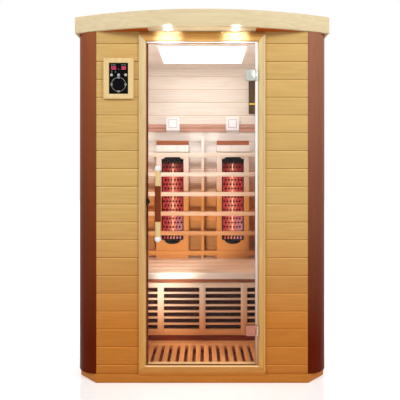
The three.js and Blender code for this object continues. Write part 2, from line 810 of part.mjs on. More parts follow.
// Heaters: on each side a wooden box with a headrest, a tray, a glowing tube and a guard
function addHeaters(cabin) {
  for (const [side, name] of [[-1, "left"], [1, "right"]]) {
    const heater = place(cabin, (side * heaterSpacing) / 2, slatBackY + seat, benchTop);
    add(heater, `heater_box_${name}`, heaterBox(), roomWood);
    add(heater, `heater_tray_${name}`, heaterTray(), trayMetal);
    add(heater, `heater_tube_${name}`, heaterTube(), tubeGlass);
    add(heater, `heater_guard_${name}`, heaterGuard(), guardMetal);
    const headrest = block(
      [-headrestWidth / 2, headrestWidth / 2],
      [0, headrestDepth],
      [heaterBoxRise + seat, heaterBoxRise + headrestHeight],
    );
    add(heater, `headrest_${name}`, headrest, darkWood);
  }
}

const heaterDepth = innerBackY - seat - (slatBackY + seat); // of the box, from the slats to the wall
const heaterTop = heaterRise + heaterHeight;
const trayFront = guardBulge + guardThickness;
const headrestTop = benchTop + heaterBoxRise + headrestHeight;

// Box around the heater. Its top comes forward to the face of the slats.
function heaterBox() {
  const half = heaterBoxWidth / 2;
  const ring = rectangle([-half, half], [seat, heaterBoxRise]);
  const open = heaterWidth / 2 + seat;
  ring.holes.push(rectangle([-open, open], [heaterRise - seat, heaterTop + seat]));
  const cap = block(
    [-half, half],
    [-slatThickness - seat, heaterDepth / 2],
    [heaterBoxRise - heaterCapHeight, heaterBoxRise],
  );
  return join(thicken(ring, [0, heaterDepth]), cap);
}

// Metal tray, open to the front.
function heaterTray() {
  const half = heaterWidth / 2;
  const shell = block([-half, half], [trayFront, heaterDepth], [heaterRise, heaterTop]);
  const hollow = block(
    [trayWall - half, half - trayWall],
    [trayFront - 1, heaterDepth - trayWall],
    [heaterRise + trayWall, heaterTop - trayWall],
  );
  return cut(shell, hollow);
}

function heaterTube() {
  const ends = trayWall + seat;
  return rodAlongZ(tubeRadius, [heaterRise + ends, heaterTop - ends], 0, trayFront + tubeSetback);
}

// Curved sheet over the front of the tray, with openings in columns and rows.
function heaterGuard() {
  const half = heaterWidth / 2;
  const radius = (half ** 2 + guardBulge ** 2) / (2 * guardBulge);
  const centreY = radius + seat;
  const innerRadius = radius - guardThickness;
  const innerHalf = half - guardThickness;
  const edgeY = trayFront - seat;
  const swing = Math.asin(half / radius);
  const innerSwing = Math.asin(innerHalf / innerRadius);
  const plan = new THREE.Shape();
  plan.moveTo(-half, edgeY);
  plan.absarc(0, centreY, radius, -Math.PI / 2 - swing, -Math.PI / 2 + swing, false);
  plan.lineTo(half, edgeY);
  plan.lineTo(innerHalf, edgeY);
  plan.absarc(0, centreY, innerRadius, -Math.PI / 2 + innerSwing, -Math.PI / 2 - innerSwing, true);
  plan.lineTo(-innerHalf, edgeY);
  plan.closePath();
  const sheet = raise(plan, [heaterRise, heaterTop], guardSegments);
  const columnPitch = (heaterWidth - guardBar) / guardColumns;
  const rowPitch = (heaterHeight - guardBar) / guardRows;
  const openings = [];
  for (let column = 0; column < guardColumns; column += 1) {
    const x = guardBar - half + column * columnPitch;
    for (let row = 0; row < guardRows; row += 1) {
      const z = heaterRise + guardBar + row * rowPitch;
      openings.push(block([x, x + columnPitch - guardBar], [-1, trayFront], [z, z + rowPitch - guardBar]));
    }
  }
  return cut(sheet, ...openings);
}

// Back wall fittings: two square lamps and a dark board with a bar
function addWallFittings(cabin) {
  const against = innerBackY - seat;
  for (const [side, name] of [[-1, "left"], [1, "right"]]) {
    const lamp = place(cabin, (side * wallLampSpacing) / 2, against, headrestTop + wallLampRise);
    const half = wallLampSize / 2;
    add(lamp, `wall_lamp_${name}`, block([-half, half], [-wallLampDepth, 0], [-half, half]), whitePlastic);
  }
  const board = place(cabin, wallBoardFromMiddle, against, ceilingZ - wallBoardDrop - wallBoardTall);
  const half = wallBoardWidth / 2;
  const plate = block([-half, half], [-wallBoardThickness, 0], [0, wallBoardTall]);
  const bar = block(
    [wallBarInset - half, half - wallBarInset],
    [-wallBoardThickness - wallBarProud, 0],
    [wallBarRise, wallBarRise + wallBarHeight],
  );
  add(board, "wall_board", join(plate, bar), darkWood);
}

function glandHeight() {
  return powerBottom + powerHeight / 2;
}

// Power unit under the bench, with the gland for the supply through the back wall
function addPowerUnit(cabin) {
  const against = innerBackY - seat;
  const half = powerWidth / 2;
  const unit = place(cabin, powerX, 0, 0);
  const box = block([-half, half], [against - powerDepth, against], [powerBottom, powerBottom + powerHeight]);
  const outside = [backY + seat, backY + seat + glandFlangeThickness];
  const gland = rodAlongY(glandRadius, [against - powerDepth / 2, outside[1]], 0, glandHeight());
  const flange = rodAlongY(glandFlange, outside, 0, glandHeight());
  add(unit, "power_unit", join(box, gland, flange), unitGrey);
}

const cabin = new THREE.Group();
cabin.name = "sauna_cabin";
addBase(cabin);
addWalls(cabin);
addRoof(cabin);
addCeilingLamp(cabin);
addDoorFrame(cabin);
addDoor(cabin);
addDoorFittings(cabin);
addControl(cabin);
addFloorGrid(cabin);
addBench(cabin);
addBackrest(cabin);
addHeaters(cabin);
addWallFittings(cabin);
addPowerUnit(cabin);

export default cabin;
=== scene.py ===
"""Looks of an infrared sauna cabin: timber, glass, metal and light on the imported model."""

import math

import bmesh
import bpy
from bpy.props import FloatProperty, FloatVectorProperty, IntProperty, PointerProperty
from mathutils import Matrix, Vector


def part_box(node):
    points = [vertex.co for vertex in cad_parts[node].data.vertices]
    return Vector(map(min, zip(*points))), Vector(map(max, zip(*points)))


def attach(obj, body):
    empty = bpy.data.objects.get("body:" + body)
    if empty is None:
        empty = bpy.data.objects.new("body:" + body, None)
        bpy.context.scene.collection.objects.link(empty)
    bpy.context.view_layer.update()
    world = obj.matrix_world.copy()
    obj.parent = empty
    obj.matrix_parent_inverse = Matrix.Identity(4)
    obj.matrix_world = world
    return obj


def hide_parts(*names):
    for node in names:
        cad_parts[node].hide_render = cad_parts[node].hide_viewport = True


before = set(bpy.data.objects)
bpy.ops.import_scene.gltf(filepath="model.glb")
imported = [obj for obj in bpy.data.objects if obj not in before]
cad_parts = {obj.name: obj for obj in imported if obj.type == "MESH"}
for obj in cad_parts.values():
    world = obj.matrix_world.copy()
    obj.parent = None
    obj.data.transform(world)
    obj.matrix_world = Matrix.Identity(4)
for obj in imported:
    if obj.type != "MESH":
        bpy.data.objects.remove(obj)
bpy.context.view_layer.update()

bl_info = {
    "name": "Sauna cabin",
    "version": (1, 0, 0),
    "blender": (4, 5, 0),
    "location": "View3D > Sidebar > Cabin",
    "description": "Dresses the packed sauna cabin in timber, glass, metal and light",
    "category": "Object",
}

MM = 0.001


# Sizes, colours and light that a user would change


def shade(red, green, blue):
    """Linear colour from screen levels out of 255."""
    levels = [level / 255 for level in (red, green, blue)]
    return tuple(s / 12.92 if s <= 0.04045 else ((s + 0.055) / 1.055) ** 2.4 for s in levels)


def length(name, description, millimetres):
    return FloatProperty(
        name=name, description=description, default=millimetres * MM, unit="LENGTH", precision=4
    )


def number(name, description, default):
    return IntProperty(name=name, description=description, default=default, min=1)


def level(name, description, default):
    return FloatProperty(name=name, description=description, default=default, min=0)


def colour(name, description, red, green, blue):
    return FloatVectorProperty(
        name=name,
        description=description,
        default=shade(red, green, blue),
        subtype="COLOR",
        min=0,
        max=1,
    )


class CabinSizes(bpy.types.PropertyGroup):
    """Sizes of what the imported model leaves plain."""

    edge: length("Edge", "Rounding of planed edges", 1.5)
    soft_edge: length("Soft edge", "Rounding of edges that hands and backs touch", 3)
    groove_edge: length("Groove edge", "Rounding along the grooves between boards", 0.6)
    board_pitch: length("Board pitch", "Height of one wall board", 92.2)
    room_pitch: length("Room pitch", "Height of one wall board inside", 95.5)
    room_joint: length("Room joint", "Height of a joint between wall boards inside", 1510)
    first_joint: length("First joint", "Height of the lowest joint between wall boards", 92)
    roof_bow: length("Roof bow", "Middle of the front edge ahead of its corners", 126)
    bow_steps: number("Bow steps", "Sections along the bow of the roof", 48)
    turn_steps: number("Turn steps", "Sections around a turned piece", 40)
    trim_chamfer: length("Trim chamfer", "Chamfer along both edges of the door frame", 6)
    trim_bead: length("Trim bead", "Bead along the outer edge of the door frame", 11)
    mitre_gap: length("Mitre gap", "Open joint at each corner of the door frame", 1.5)
    door_stop: length("Door stop", "Width of the strip that the door closes against", 9)
    handle_neck: length("Handle neck", "How far the handle's knobs stand out from its bar", 3.5)
    clamp_round: length("Clamp rounding", "Corner radius of a hinge clamp", 8)
    clamp_inset: length("Clamp inset", "Border around the raised square of a hinge clamp", 7)
    screw_head: length("Screw head", "Radius of a screw head", 3.5)
    guard_column: length("Guard column", "Pitch of the guard's columns", 22)
    guard_row: length("Guard row", "Pitch of the guard's rows", 30)
    guard_knot: length("Guard knot", "Radius of a knot in the guard", 8)
    guard_wire: length("Guard wire", "Thickness of the guard's wires", 0.6)
    guard_border: length("Guard border", "Width of the strip along each side of a guard", 8)
    tooth_width: length("Tooth width", "Width of a tooth at the foot of a guard", 11)
    tab_width: length("Tab width", "Width of the tab at each end of a guard", 112)


class CabinColours(bpy.types.PropertyGroup):
    """Colours of the finishes. A pair gives the tone high up and low down; the darker, warmer tone low down is
    painted shade.
    """

    board_high: colour("Boards, high", "Wall boards under the roof", 208, 169, 103)
    board_low: colour("Boards, low", "Wall boards near the floor", 196, 121, 47)
    trim_high: colour("Trim, high", "Door frame under the roof", 225, 205, 158)
    trim_low: colour("Trim, low", "Door frame near the floor", 210, 152, 74)
    # The head's darker, warmer tone is painted shade under the canopy.
    rail_high: colour("Rail, high", "Head of the door frame", 220, 168, 96)
    rail_low: colour("Rail, low", "Sill of the door frame", 198, 134, 68)
    maple: colour("Maple", "Fascia and roof", 223, 204, 164)
    honey: colour("Honey", "Control frame and handle", 230, 200, 144)
    # Painted shade at the sides of the soffit.
    soffit: colour("Soffit", "Underside of the canopy", 190, 88, 22)
    post_left: colour("Left post, high", "Left corner post under the roof", 146, 82, 50)
    # The right post's paler, pinker high tone is a painted sheen.
    post_right: colour("Right post, high", "Right corner post under the roof", 158, 104, 80)
    post_low: colour("Posts, low", "Corner posts near the floor", 92, 26, 4)
    room_high: colour("Room, high", "Boards inside, above the heaters", 245, 236, 227)
    room_low: colour("Room, low", "Boards inside, near the bench", 206, 138, 74)
    # Painted highlight on the top of the sill and the slope before it.
    sill_edge: colour("Sill edge", "Top of the sill and the slope before it", 252, 206, 146)
    slat: colour("Slats", "Backrest slats, high up", 242, 224, 204)
    rose: colour("Rose", "Rail behind the wall lamps", 206, 160, 142)
    bench_high: colour("Bench, high", "Seat of the bench", 246, 214, 186)
    bench_low: colour("Bench, low", "Floor grid and foot of the bench", 228, 152, 90)
    # The toe board's dark tone is partly painted shade under the bench.
    toe: colour("Toe board", "Toe board under the bench, and door stop", 128, 44, 8)
    # Painted shade under the floor grid, on its bearers and the sheet below.
    under: colour("Under the grid", "Floor below the grid", 176, 84, 60)
    # Painted shade: the brown of the headrests, the set-back rail under the seat and the groove in the lamp rail.
    tan: colour("Tan", "Headrests and the rail under the seat", 168, 100, 66)
    brown: colour("Brown", "Grip and foot of the door stop", 122, 56, 30)
    olive: colour("Olive brown", "Board on the back wall", 98, 76, 54)
    # Colours of the painted glow on the heater trays.
    hot: colour("Hot", "Middle of the heater trays", 255, 150, 112)
    dim: colour("Dim", "Sides of the heater trays", 186, 44, 48)


class CabinLight(bpy.types.PropertyGroup):
    """Strength of the cabin's own lights and of the studio."""

    ceiling: level("Ceiling lamp", "Strength of the ceiling lamp", 3.1)
    spots: level("Downlights", "Strength of the downlights", 3.0)
    tube: level("Heater tubes", "Strength of the heater tubes", 1.6)
    tray: level("Heater trays", "Strength of the glow on the trays", 0.86)
    around: level("Surroundings", "Light from all around", 0.32)
    left: level("Left light", "Power of the studio light on the left, in watts", 84.0)
    right: level("Right light", "Power of the studio light on the right, in watts", 106.0)
    room: level("Room light", "Power of the light on the upper part of the room, in watts", 1.05)
    low: level("Low light", "Power of the low light through the door, in watts", 21.0)
    bench: level("Bench light", "Power of the light on the front of the bench, in watts", 4.5)
    canopy: level("Canopy light", "Power of the light on the soffit, in watts", 0.65)
    pools: level("Pools", "Power of the light that each downlight throws on the door frame, in watts", 4.5)


# Nodes


class Socket:
    """A node's output that takes part in sums as a number does."""

    def __init__(self, maker, socket):
        self.maker = maker
        self.socket = socket

    def __add__(self, other):
        return self.maker.maths("ADD", self, other)

    def __radd__(self, other):
        return self.maker.maths("ADD", other, self)

    def __sub__(self, other):
        return self.maker.maths("SUBTRACT", self, other)

    def __rsub__(self, other):
        return self.maker.maths("SUBTRACT", other, self)

    def __mul__(self, other):
        return self.maker.maths("MULTIPLY", self, other)

    def __rmul__(self, other):
        return self.maker.maths("MULTIPLY", other, self)

    def __truediv__(self, other):
        return self.maker.maths("DIVIDE", self, other)

    def __rtruediv__(self, other):
        return self.maker.maths("DIVIDE", other, self)

    def __pow__(self, other):
        return self.maker.maths("POWER", self, other)


class NodeMaker:
    """Adds nodes to one tree."""

    def __init__(self, tree):
        self.tree = tree

    def add(self, kind, settings=None, sockets=None, output=0):
        """One node: its type, its settings, then the values or links of its sockets by identifier."""
        node = self.tree.nodes.new(kind)
        for name, value in (settings or {}).items():
            setattr(node, name, value)
        for name, value in (sockets or {}).items():
            self.feed(next(s for s in node.inputs if s.identifier == name), value)
        if not node.outputs:
            return node
        if isinstance(output, str):
            return Socket(self, next(s for s in node.outputs if s.identifier == output))
        return Socket(self, node.outputs[output])

    def feed(self, socket, value):
        """Gives a socket its value, its link, or several links."""
        for item in value if isinstance(value, list) else [value]:
            if isinstance(item, Socket):
                self.tree.links.new(item.socket, socket)
            elif socket.type == "RGBA" and len(item) == 3:
                socket.default_value = (*item, 1)
            else:
                socket.default_value = item

    def maths(self, operation, first, second=0.0, third=0.0):
        sockets = {"Value": first, "Value_001": second, "Value_002": third}
        return self.add("ShaderNodeMath", {"operation": operation}, sockets)

    def split(self, vector):
        """The three parts of a vector."""
        parts = self.add("ShaderNodeSeparateXYZ", sockets={"Vector": vector}).socket.node.outputs
        return [Socket(self, part) for part in parts]

    def vector(self, x, y, z):
        return self.add("ShaderNodeCombineXYZ", sockets={"X": x, "Y": y, "Z": z})


class Paint(NodeMaker):
    """A material and the nodes that make it."""

    def __init__(self, name):
        self.material = bpy.data.materials.new(name)
        self.material.use_nodes = True
        super().__init__(self.material.node_tree)
        self.tree.nodes.clear()

    def place(self):
        """Where a point of the piece is, in metres."""
        return self.add("ShaderNodeTexCoord", output="Object")

    def mix(self, share, first, second, blend="MIX"):
        """Two colours, mixed."""
        settings = {"data_type": "RGBA", "blend_type": blend}
        sockets = {"Factor_Float": share, "A_Color": first, "B_Color": second}
        return self.add("ShaderNodeMix", settings, sockets, "Result_Color")

    def scaled(self, tint, amount):
        """A colour made lighter or darker."""
        sockets = {"Vector": tint, "Scale": amount}
        return self.add("ShaderNodeVectorMath", {"operation": "SCALE"}, sockets)

    def noise(self, place, scale, detail=2.0, distortion=0.0):
        sockets = {"Vector": place, "Scale": scale, "Detail": detail, "Distortion": distortion}
        return self.add("ShaderNodeTexNoise", sockets=sockets, output="Fac")

    def ramp(self, value, low, high):
        """0 below one value, 1 above another, straight in between."""
        sockets = {"Value": value, "From Min": low, "From Max": high}
        return self.add("ShaderNodeMapRange", {"clamp": True}, sockets, "Result")

    def bump(self, height, distance, strength=0.5):
        sockets = {"Height": height, "Distance": distance, "Strength": strength}
        return self.add("ShaderNodeBump", sockets=sockets)

    def surface(self, **sockets):
        """A Principled shader, with its sockets named in lower case."""
        named = {name.replace("_", " ").title().replace("Ior", "IOR"): v for name, v in sockets.items()}
        return self.add("ShaderNodeBsdfPrincipled", sockets=named)

    def show(self, shader):
        self.add("ShaderNodeOutputMaterial", sockets={"Surface": shader})
        return self.material


# Materials


def made_once(make):
    """Keeps each material that a function makes, by its name."""
    made = {}

    def kept(name, *details, **more):
        if name not in made:
            made[name] = make(name, *details, **more)
        return made[name]

    return kept


@made_once
def timber(
    name, high, low, run="X", boards=None, gloss=0.5, figure=0.5, fade=(0.0, 1.9), seam=0.0, shine=0.05, mixed=0.0
):
    """Planed timber: grain along one axis, a tone that deepens downwards as painted shade, boards that differ.

    boards is the axis across the boards, the first joint and the pitch, where there are boards.
    fade is the heights between which the painted shade goes from the low tone to the high. seam is how dark the
    joints are:
    each is a thin dark line above a slope with a painted highlight. mixed is how much more the low boards differ.
    """
    paint = Paint(name)
    x, y, z = paint.split(paint.place())
    along, across, through = {"X": (x, y, z), "Y": (y, x, z), "Z": (z, x, y)}[run]
    # Painted shade: the tone goes from the low colour to the high one with height.
    height = paint.ramp(z, *fade)
    tone = 1.0
    if boards:
        axis, first, pitch = boards
        lane = ({"X": x, "Y": y, "Z": z}[axis] - first) / pitch
        count = paint.maths("FLOOR", lane)
        chance = paint.add("ShaderNodeTexWhiteNoise", {"noise_dimensions": "1D"}, {"W": count}, "Value")
        along = along + count * 3.7
        across = across + count * 1.3
        tone = 1 + (chance - 0.5) * (0.08 + mixed * (1 - height))
    if seam:
        rise = (paint.maths("FRACT", lane + 0.5) - 0.5) * pitch
        line = 1 - paint.ramp(paint.maths("ABSOLUTE", rise), 0.8 * MM, 2.4 * MM)
        # Painted highlight on the slope below each joint.
        slope = paint.ramp(rise, -7 * MM, -5.5 * MM) - paint.ramp(rise, -2.4 * MM, -1.2 * MM)
        tone = tone * (1 - seam * line + seam * 0.7 * slope)
    rings = paint.noise(paint.vector(along * 0.9, across * 9, through * 9), 1.0, 2.0)
    lines = 0.5 + 0.5 * paint.maths("SINE", rings * 70)
    streaks = paint.noise(paint.vector(along * 4, across * 90, through * 90), 1.0, 4.0)
    pores = paint.noise(paint.vector(along * 40, across * 900, through * 900), 1.0, 2.0)
    clean = paint.mix(height, low, high)
    grain = lines * 0.25 + paint.ramp(streaks, 0.25, 0.75) * 0.6 + pores * 0.15
    reach = (0.22 * figure, 0.32 * figure, 0.44 * figure)
    pale_vein = tuple(1 + r for r in reach)
    dark_vein = tuple(1 - r for r in reach)
    veins = paint.mix(grain, pale_vein, dark_vein)
    veined = paint.mix(1.0, clean, veins, "MULTIPLY")
    relief = paint.bump(streaks + pores * 0.6, 0.0006, 0.35)
    return paint.show(
        paint.surface(
            base_color=paint.scaled(veined, tone),
            roughness=gloss + 0.2 * (pores - 0.5),
            specular_ior_level=shine,
            normal=relief,
        )
    )


@made_once
def moulded(name, tint, roughness=0.35, shine=0.35, scale=300.0, foot=None):
    """Moulded, cast or coated surface with fine unevenness in tone, gloss and relief.

    foot is its colour near the floor, where that differs.
    """
    paint = Paint(name)
    place = paint.place()
    if foot:
        tint = paint.mix(paint.ramp(paint.split(place)[2], 0.1, 1.1), foot, tint)
    cloud = paint.noise(place, 14.0, 3.0)
    fine = paint.noise(place, scale, 2.0)
    relief = paint.bump(fine, 0.0002, 0.25)
    return paint.show(
        paint.surface(
            base_color=paint.scaled(tint, 0.92 + cloud * 0.16),
            roughness=roughness * 0.8 + fine * (roughness * 0.4),
            specular_ior_level=shine,
            normal=relief,
        )
    )


@made_once
def brushed(name, high, low, roughness=0.2):
    """Plated metal with fine scratches along its height, warmer low down as a painted reflection of the warm wood
    around it.
    """
    paint = Paint(name)
    x, y, z = paint.split(paint.place())
    scratch = paint.noise(paint.vector(x * 900, y * 900, z * 60), 1.0, 3.0)
    tint = paint.mix(paint.ramp(z, 0.3, 1.2), low, high)
    return paint.show(
        paint.surface(
            base_color=paint.scaled(tint, 0.9 + scratch * 0.2),
            metallic=1.0,
            roughness=roughness * 0.6 + scratch * (roughness * 0.8),
        )
    )


@made_once
def clear_pane(name, tint=(0.985, 0.992, 0.988)):
    """Clear glass: what is behind shows through, with a faint mirror on top."""
    paint = Paint(name)
    facing = paint.add("ShaderNodeLayerWeight", sockets={"Blend": 0.5}, output="Facing")
    share = 0.006 + 0.5 * paint.maths("POWER", facing, 5.0)
    wipe = paint.noise(paint.place(), 3.0, 2.0)
    mirror = paint.surface(base_color=(1, 1, 1), metallic=1.0, roughness=0.02 + wipe * 0.04)
    through = paint.add("ShaderNodeBsdfTransparent", sockets={"Color": tint})
    sockets = {"Fac": share, "Shader": through, "Shader_001": mirror}
    return paint.show(paint.add("ShaderNodeMixShader", sockets=sockets))


@made_once
def lit(name, tint, strength, scale=60.0):
    """A lamp's cover that gives light, a little cloudy as opal acrylic is."""
    paint = Paint(name)
    cloud = paint.noise(paint.place(), scale, 2.0)
    glow = paint.scaled(tint, 0.9 + cloud * 0.2)
    return paint.show(
        paint.surface(
            base_color=glow,
            roughness=0.5,
            specular_ior_level=0.2,
            emission_color=glow,
            emission_strength=strength,
        )
    )


@made_once
def glowing_tray(name, hot, dim, strength, low, high):
    """Polished tray between two corners with a painted glow along its middle that stands for the tube's light in it,
    painted shade towards its top, upright streaks, and a painted reflection low on its right side.
    """
    paint = Paint(name)
    x, y, z = paint.split(paint.place())
    off = (x - (low.x + high.x) / 2) / ((high.x - low.x) / 2)
    centre = 1 - paint.ramp(paint.maths("ABSOLUTE", off), 0.0, 0.6)
    # Painted shade towards the top of the tray.
    painted_top_shade = 1 - 0.7 * paint.ramp(z, high.z - 0.12, high.z - 0.03)
    ripple = paint.noise(paint.vector(x * 30, y * 30, z * 9), 1.0, 3.0)
    streaks = paint.noise(paint.vector(x * 160, y * 160, z * 3), 1.0, 2.0)
    # Painted reflection low on the right side of the tray.
    painted_reflection = paint.ramp(off, 0.25, 0.5) * (1 - paint.ramp(z, low.z + 0.1, low.z + 0.2))
    warm = paint.scaled(paint.mix(centre, dim, hot), painted_top_shade * (0.35 + streaks * 0.9 + ripple * 0.4))
    glow = paint.mix(painted_reflection * 0.55, warm, shade(206, 158, 172))
    base = paint.mix(streaks, shade(44, 8, 12), shade(92, 36, 44))
    return paint.show(
        paint.surface(
            base_color=base,
            metallic=0.6,
            roughness=0.25 + ripple * 0.2,
            emission_color=glow,
            emission_strength=strength,
        )
    )


def boards_of(sizes):
    """How wall boards are laid: the axis across them, the first joint and the pitch."""
    return ("Z", sizes.first_joint, sizes.board_pitch)


def paler(tint, share):
    """A colour part of the way to white."""
    return tuple(c + (1 - c) * share for c in tint)


class Finishes:
    """The finishes of this cabin, from its colours."""

    def __init__(self, scene):
        self.sizes = scene.cabin_sizes
        self.tints = scene.cabin_colours
        self.light = scene.cabin_light

    def tint(self, name):
        return tuple(getattr(self.tints, name))

    def wall(self, run):
        high, low = self.tint("board_high"), self.tint("board_low")
        boards = boards_of(self.sizes)
        return timber(f"wall_boards_{run}", high, low, run, boards, 0.5, 0.35, (0.3, 0.95), 0.38, 0.12)

    def room(self, use, run, boards=None, seam=0.0):
        high, low = self.tint("room_high"), self.tint("room_low")
        return timber(f"room_{use}_{run}", high, low, run, boards, 0.55, 0.32, (0.9, 1.26), seam, 0.02, 0.5)

    def trim(self, run):
        """Door frame: its posts are paler than its rails; the head's darker, warmer tone is painted shade from the
        canopy.
        """
        part = "trim" if run == "Z" else "rail"
        high, low = self.tint(f"{part}_high"), self.tint(f"{part}_low")
        return timber(f"door_frame_{run}", high, low, run, None, 0.45, 0.4)

    # Painted highlight for the sill's upward faces.
    def sill_edge(self):
        pale = self.tint("sill_edge")
        return timber("sill_edge", pale, pale, "X", None, 0.45, 0.2)

    def maple(self, run):
        pale = self.tint("maple")
        return timber(f"pale_maple_{run}", pale, pale, run, None, 0.42, 0.35)

    def bench(self, use, run, boards=None):
        high, low = self.tint("bench_high"), self.tint("bench_low")
        return timber(f"bench_{use}_{run}", high, low, run, boards, 0.5, 0.55, (0.14, 0.44))

    def stain(self, name, run, figure=0.6):
        """Timber of one colour from top to bottom."""
        tone = self.tint(name)
        return timber(f"{name}_stain_{run}", tone, tone, run, None, 0.42, figure)

    # The warm low tones of chrome and satin steel are painted reflection of the wood.
    def chrome(self):
        return brushed("chrome_plate", (0.62, 0.62, 0.6), (0.5, 0.36, 0.3))

    def satin(self):
        return brushed("satin_steel", (0.5, 0.51, 0.45), (0.42, 0.17, 0.12), 0.35)

    def white(self):
        return moulded("white_moulding", shade(246, 245, 243), 0.35)

    def black(self):
        return moulded("black_enamel", shade(16, 12, 12), 0.5, 0.12)


# Meshes


def settle(mesh):
    """Smooth shading where a surface turns gently, and creases elsewhere."""
    mesh.shade_smooth()
    mesh.set_sharp_from_angle(angle=math.radians(26))
    return mesh


def to_mesh(bm, *materials):
    mesh = bpy.data.meshes.new("part")
    bm.to_mesh(mesh)
    bm.free()
    for material in materials:
        mesh.materials.append(material)
    return settle(mesh)


def round_edges(bm, width, sharper=20):
    """Rounds every edge of a mesh that turns by more than some degrees."""
    limit = math.radians(sharper)
    edges = [e for e in bm.edges if len(e.link_faces) == 2 and e.calc_face_angle() > limit]
    bmesh.ops.bevel(
        bm, geom=edges, offset=width, segments=2, profile=0.5, affect="EDGES", clamp_overlap=True
    )


def block(low, high, edge, material):
    """A box between two corners, with rounded edges."""
    bm = bmesh.new()
    bmesh.ops.create_cube(bm, size=1)
    low, high = Vector(low), Vector(high)
    for vert in bm.verts:
        vert.co = Vector(a + (b - a) * (c + 0.5) for a, b, c in zip(low, high, vert.co))
    if edge:
        round_edges(bm, edge)
    return to_mesh(bm, material)


def softened(node, edge, *materials, change=None):
    """A merged copy of a CAD node with its edges rounded, after a change to it where one is given."""
    bm = bmesh.new()
    bm.from_mesh(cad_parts[node].data)
    bmesh.ops.remove_doubles(bm, verts=bm.verts, dist=1e-5)
    bmesh.ops.dissolve_limit(bm, angle_limit=math.radians(0.5), verts=bm.verts, edges=bm.edges)
    if change:
        change(bm)
    if edge:
        round_edges(bm, edge)
    mesh = to_mesh(bm, *materials)
    for spare in ("custom_normal", "UVMap"):
        if spare in mesh.attributes:
            mesh.attributes.remove(mesh.attributes[spare])
    return mesh


def skin(rings, material, closed=True, loop=False):
    """A surface through rings of points, capped at its ends unless it comes back to its start."""
    bm = bmesh.new()
    rows = [[bm.verts.new(point) for point in ring] for ring in rings]
    pairs = list(zip(rows, rows[1:] + rows[:1] if loop else rows[1:]))
    for first, second in pairs:
        for i in range(len(first) if closed else len(first) - 1):
            j = (i + 1) % len(first)
            bm.faces.new((first[i], first[j], second[j], second[i]))
    if not loop:
        bm.faces.new(rows[0])
        bm.faces.new(rows[-1])
    bmesh.ops.remove_doubles(bm, verts=bm.verts, dist=1e-6)
    bmesh.ops.dissolve_degenerate(bm, edges=bm.edges, dist=1e-7)
    bmesh.ops.recalc_face_normals(bm, faces=bm.faces)
    return to_mesh(bm, material)


def turned(profile, centre, axis, steps, material, closed=False):
    """A profile of [radius, distance along the axis] turned around an axis through a point.

    An open profile starts and ends on the axis.
    """
    centre = Vector(centre)
    main = Vector(axis)
    side = main.orthogonal().normalized()
    other = main.cross(side)
    rings = []
    for i in range(steps):
        angle = 2 * math.pi * i / steps
        out = math.cos(angle) * side + math.sin(angle) * other
        rings.append([centre + radius * out + along * main for radius, along in profile])
    return skin(rings, material, closed=closed, loop=True)


def rounded_square(middle, half, radius, y, steps=6):
    """Points of a square with round corners, upright and facing the front."""
    points = []
    for quarter in range(4):
        corner = math.pi / 2 * quarter + math.pi / 4
        sign = Vector((math.copysign(1, math.cos(corner)), 0, math.copysign(1, math.sin(corner))))
        for i in range(steps + 1):
            angle = math.pi / 2 * (quarter + i / steps)
            turn = Vector((math.cos(angle), 0, math.sin(angle)))
            points.append(Vector((middle[0], y, middle[1])) + sign * (half - radius) + turn * radius)
    return points


def joined(*meshes):
    """Several meshes as one, each part with its own material."""
    bm = bmesh.new()
    materials = []
    for mesh in meshes:
        places = []
        for material in mesh.materials:
            if material not in materials:
                materials.append(material)
            places.append(materials.index(material))
        start = len(bm.faces)
        bm.from_mesh(mesh)
        bm.faces.ensure_lookup_table()
        for face in bm.faces[start:]:
            face.material_index = places[face.material_index]
        bpy.data.meshes.remove(mesh)
    return to_mesh(bm, *materials)


def split(mesh, x):
    """Cuts the faces of a mesh that cross an upright plane."""
    bm = bmesh.new()
    bm.from_mesh(mesh)
    geometry = bm.verts[:] + bm.edges[:] + bm.faces[:]
    bmesh.ops.bisect_plane(bm, geom=geometry, plane_co=(x, 0, 0), plane_no=(1, 0, 0))
    bm.to_mesh(mesh)
    bm.free()


def paint_faces(mesh, index, test):
    """Gives one of a mesh's materials to the faces that pass a test on their middle and normal."""
    for face in mesh.polygons:
        if test(face.center, face.normal):
            face.material_index = index
    return mesh


def piece(name, mesh, nodes=(), body="cabin"):
    """A finished piece on a body, in place of some CAD nodes."""
    mesh.name = name
    obj = bpy.data.objects.new(name, mesh)
    bpy.context.scene.collection.objects.link(obj)
    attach(obj, body)
    if nodes:
        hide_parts(*nodes)
    return obj


def arc(start, stop, steps):
    """Angles from one to another in equal steps, given in degrees."""
    return [math.radians(start + (stop - start) * i / steps) for i in range(steps + 1)]


def middle_of(node):
    low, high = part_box(node)
    return (low + high) / 2


# Geometry Nodes


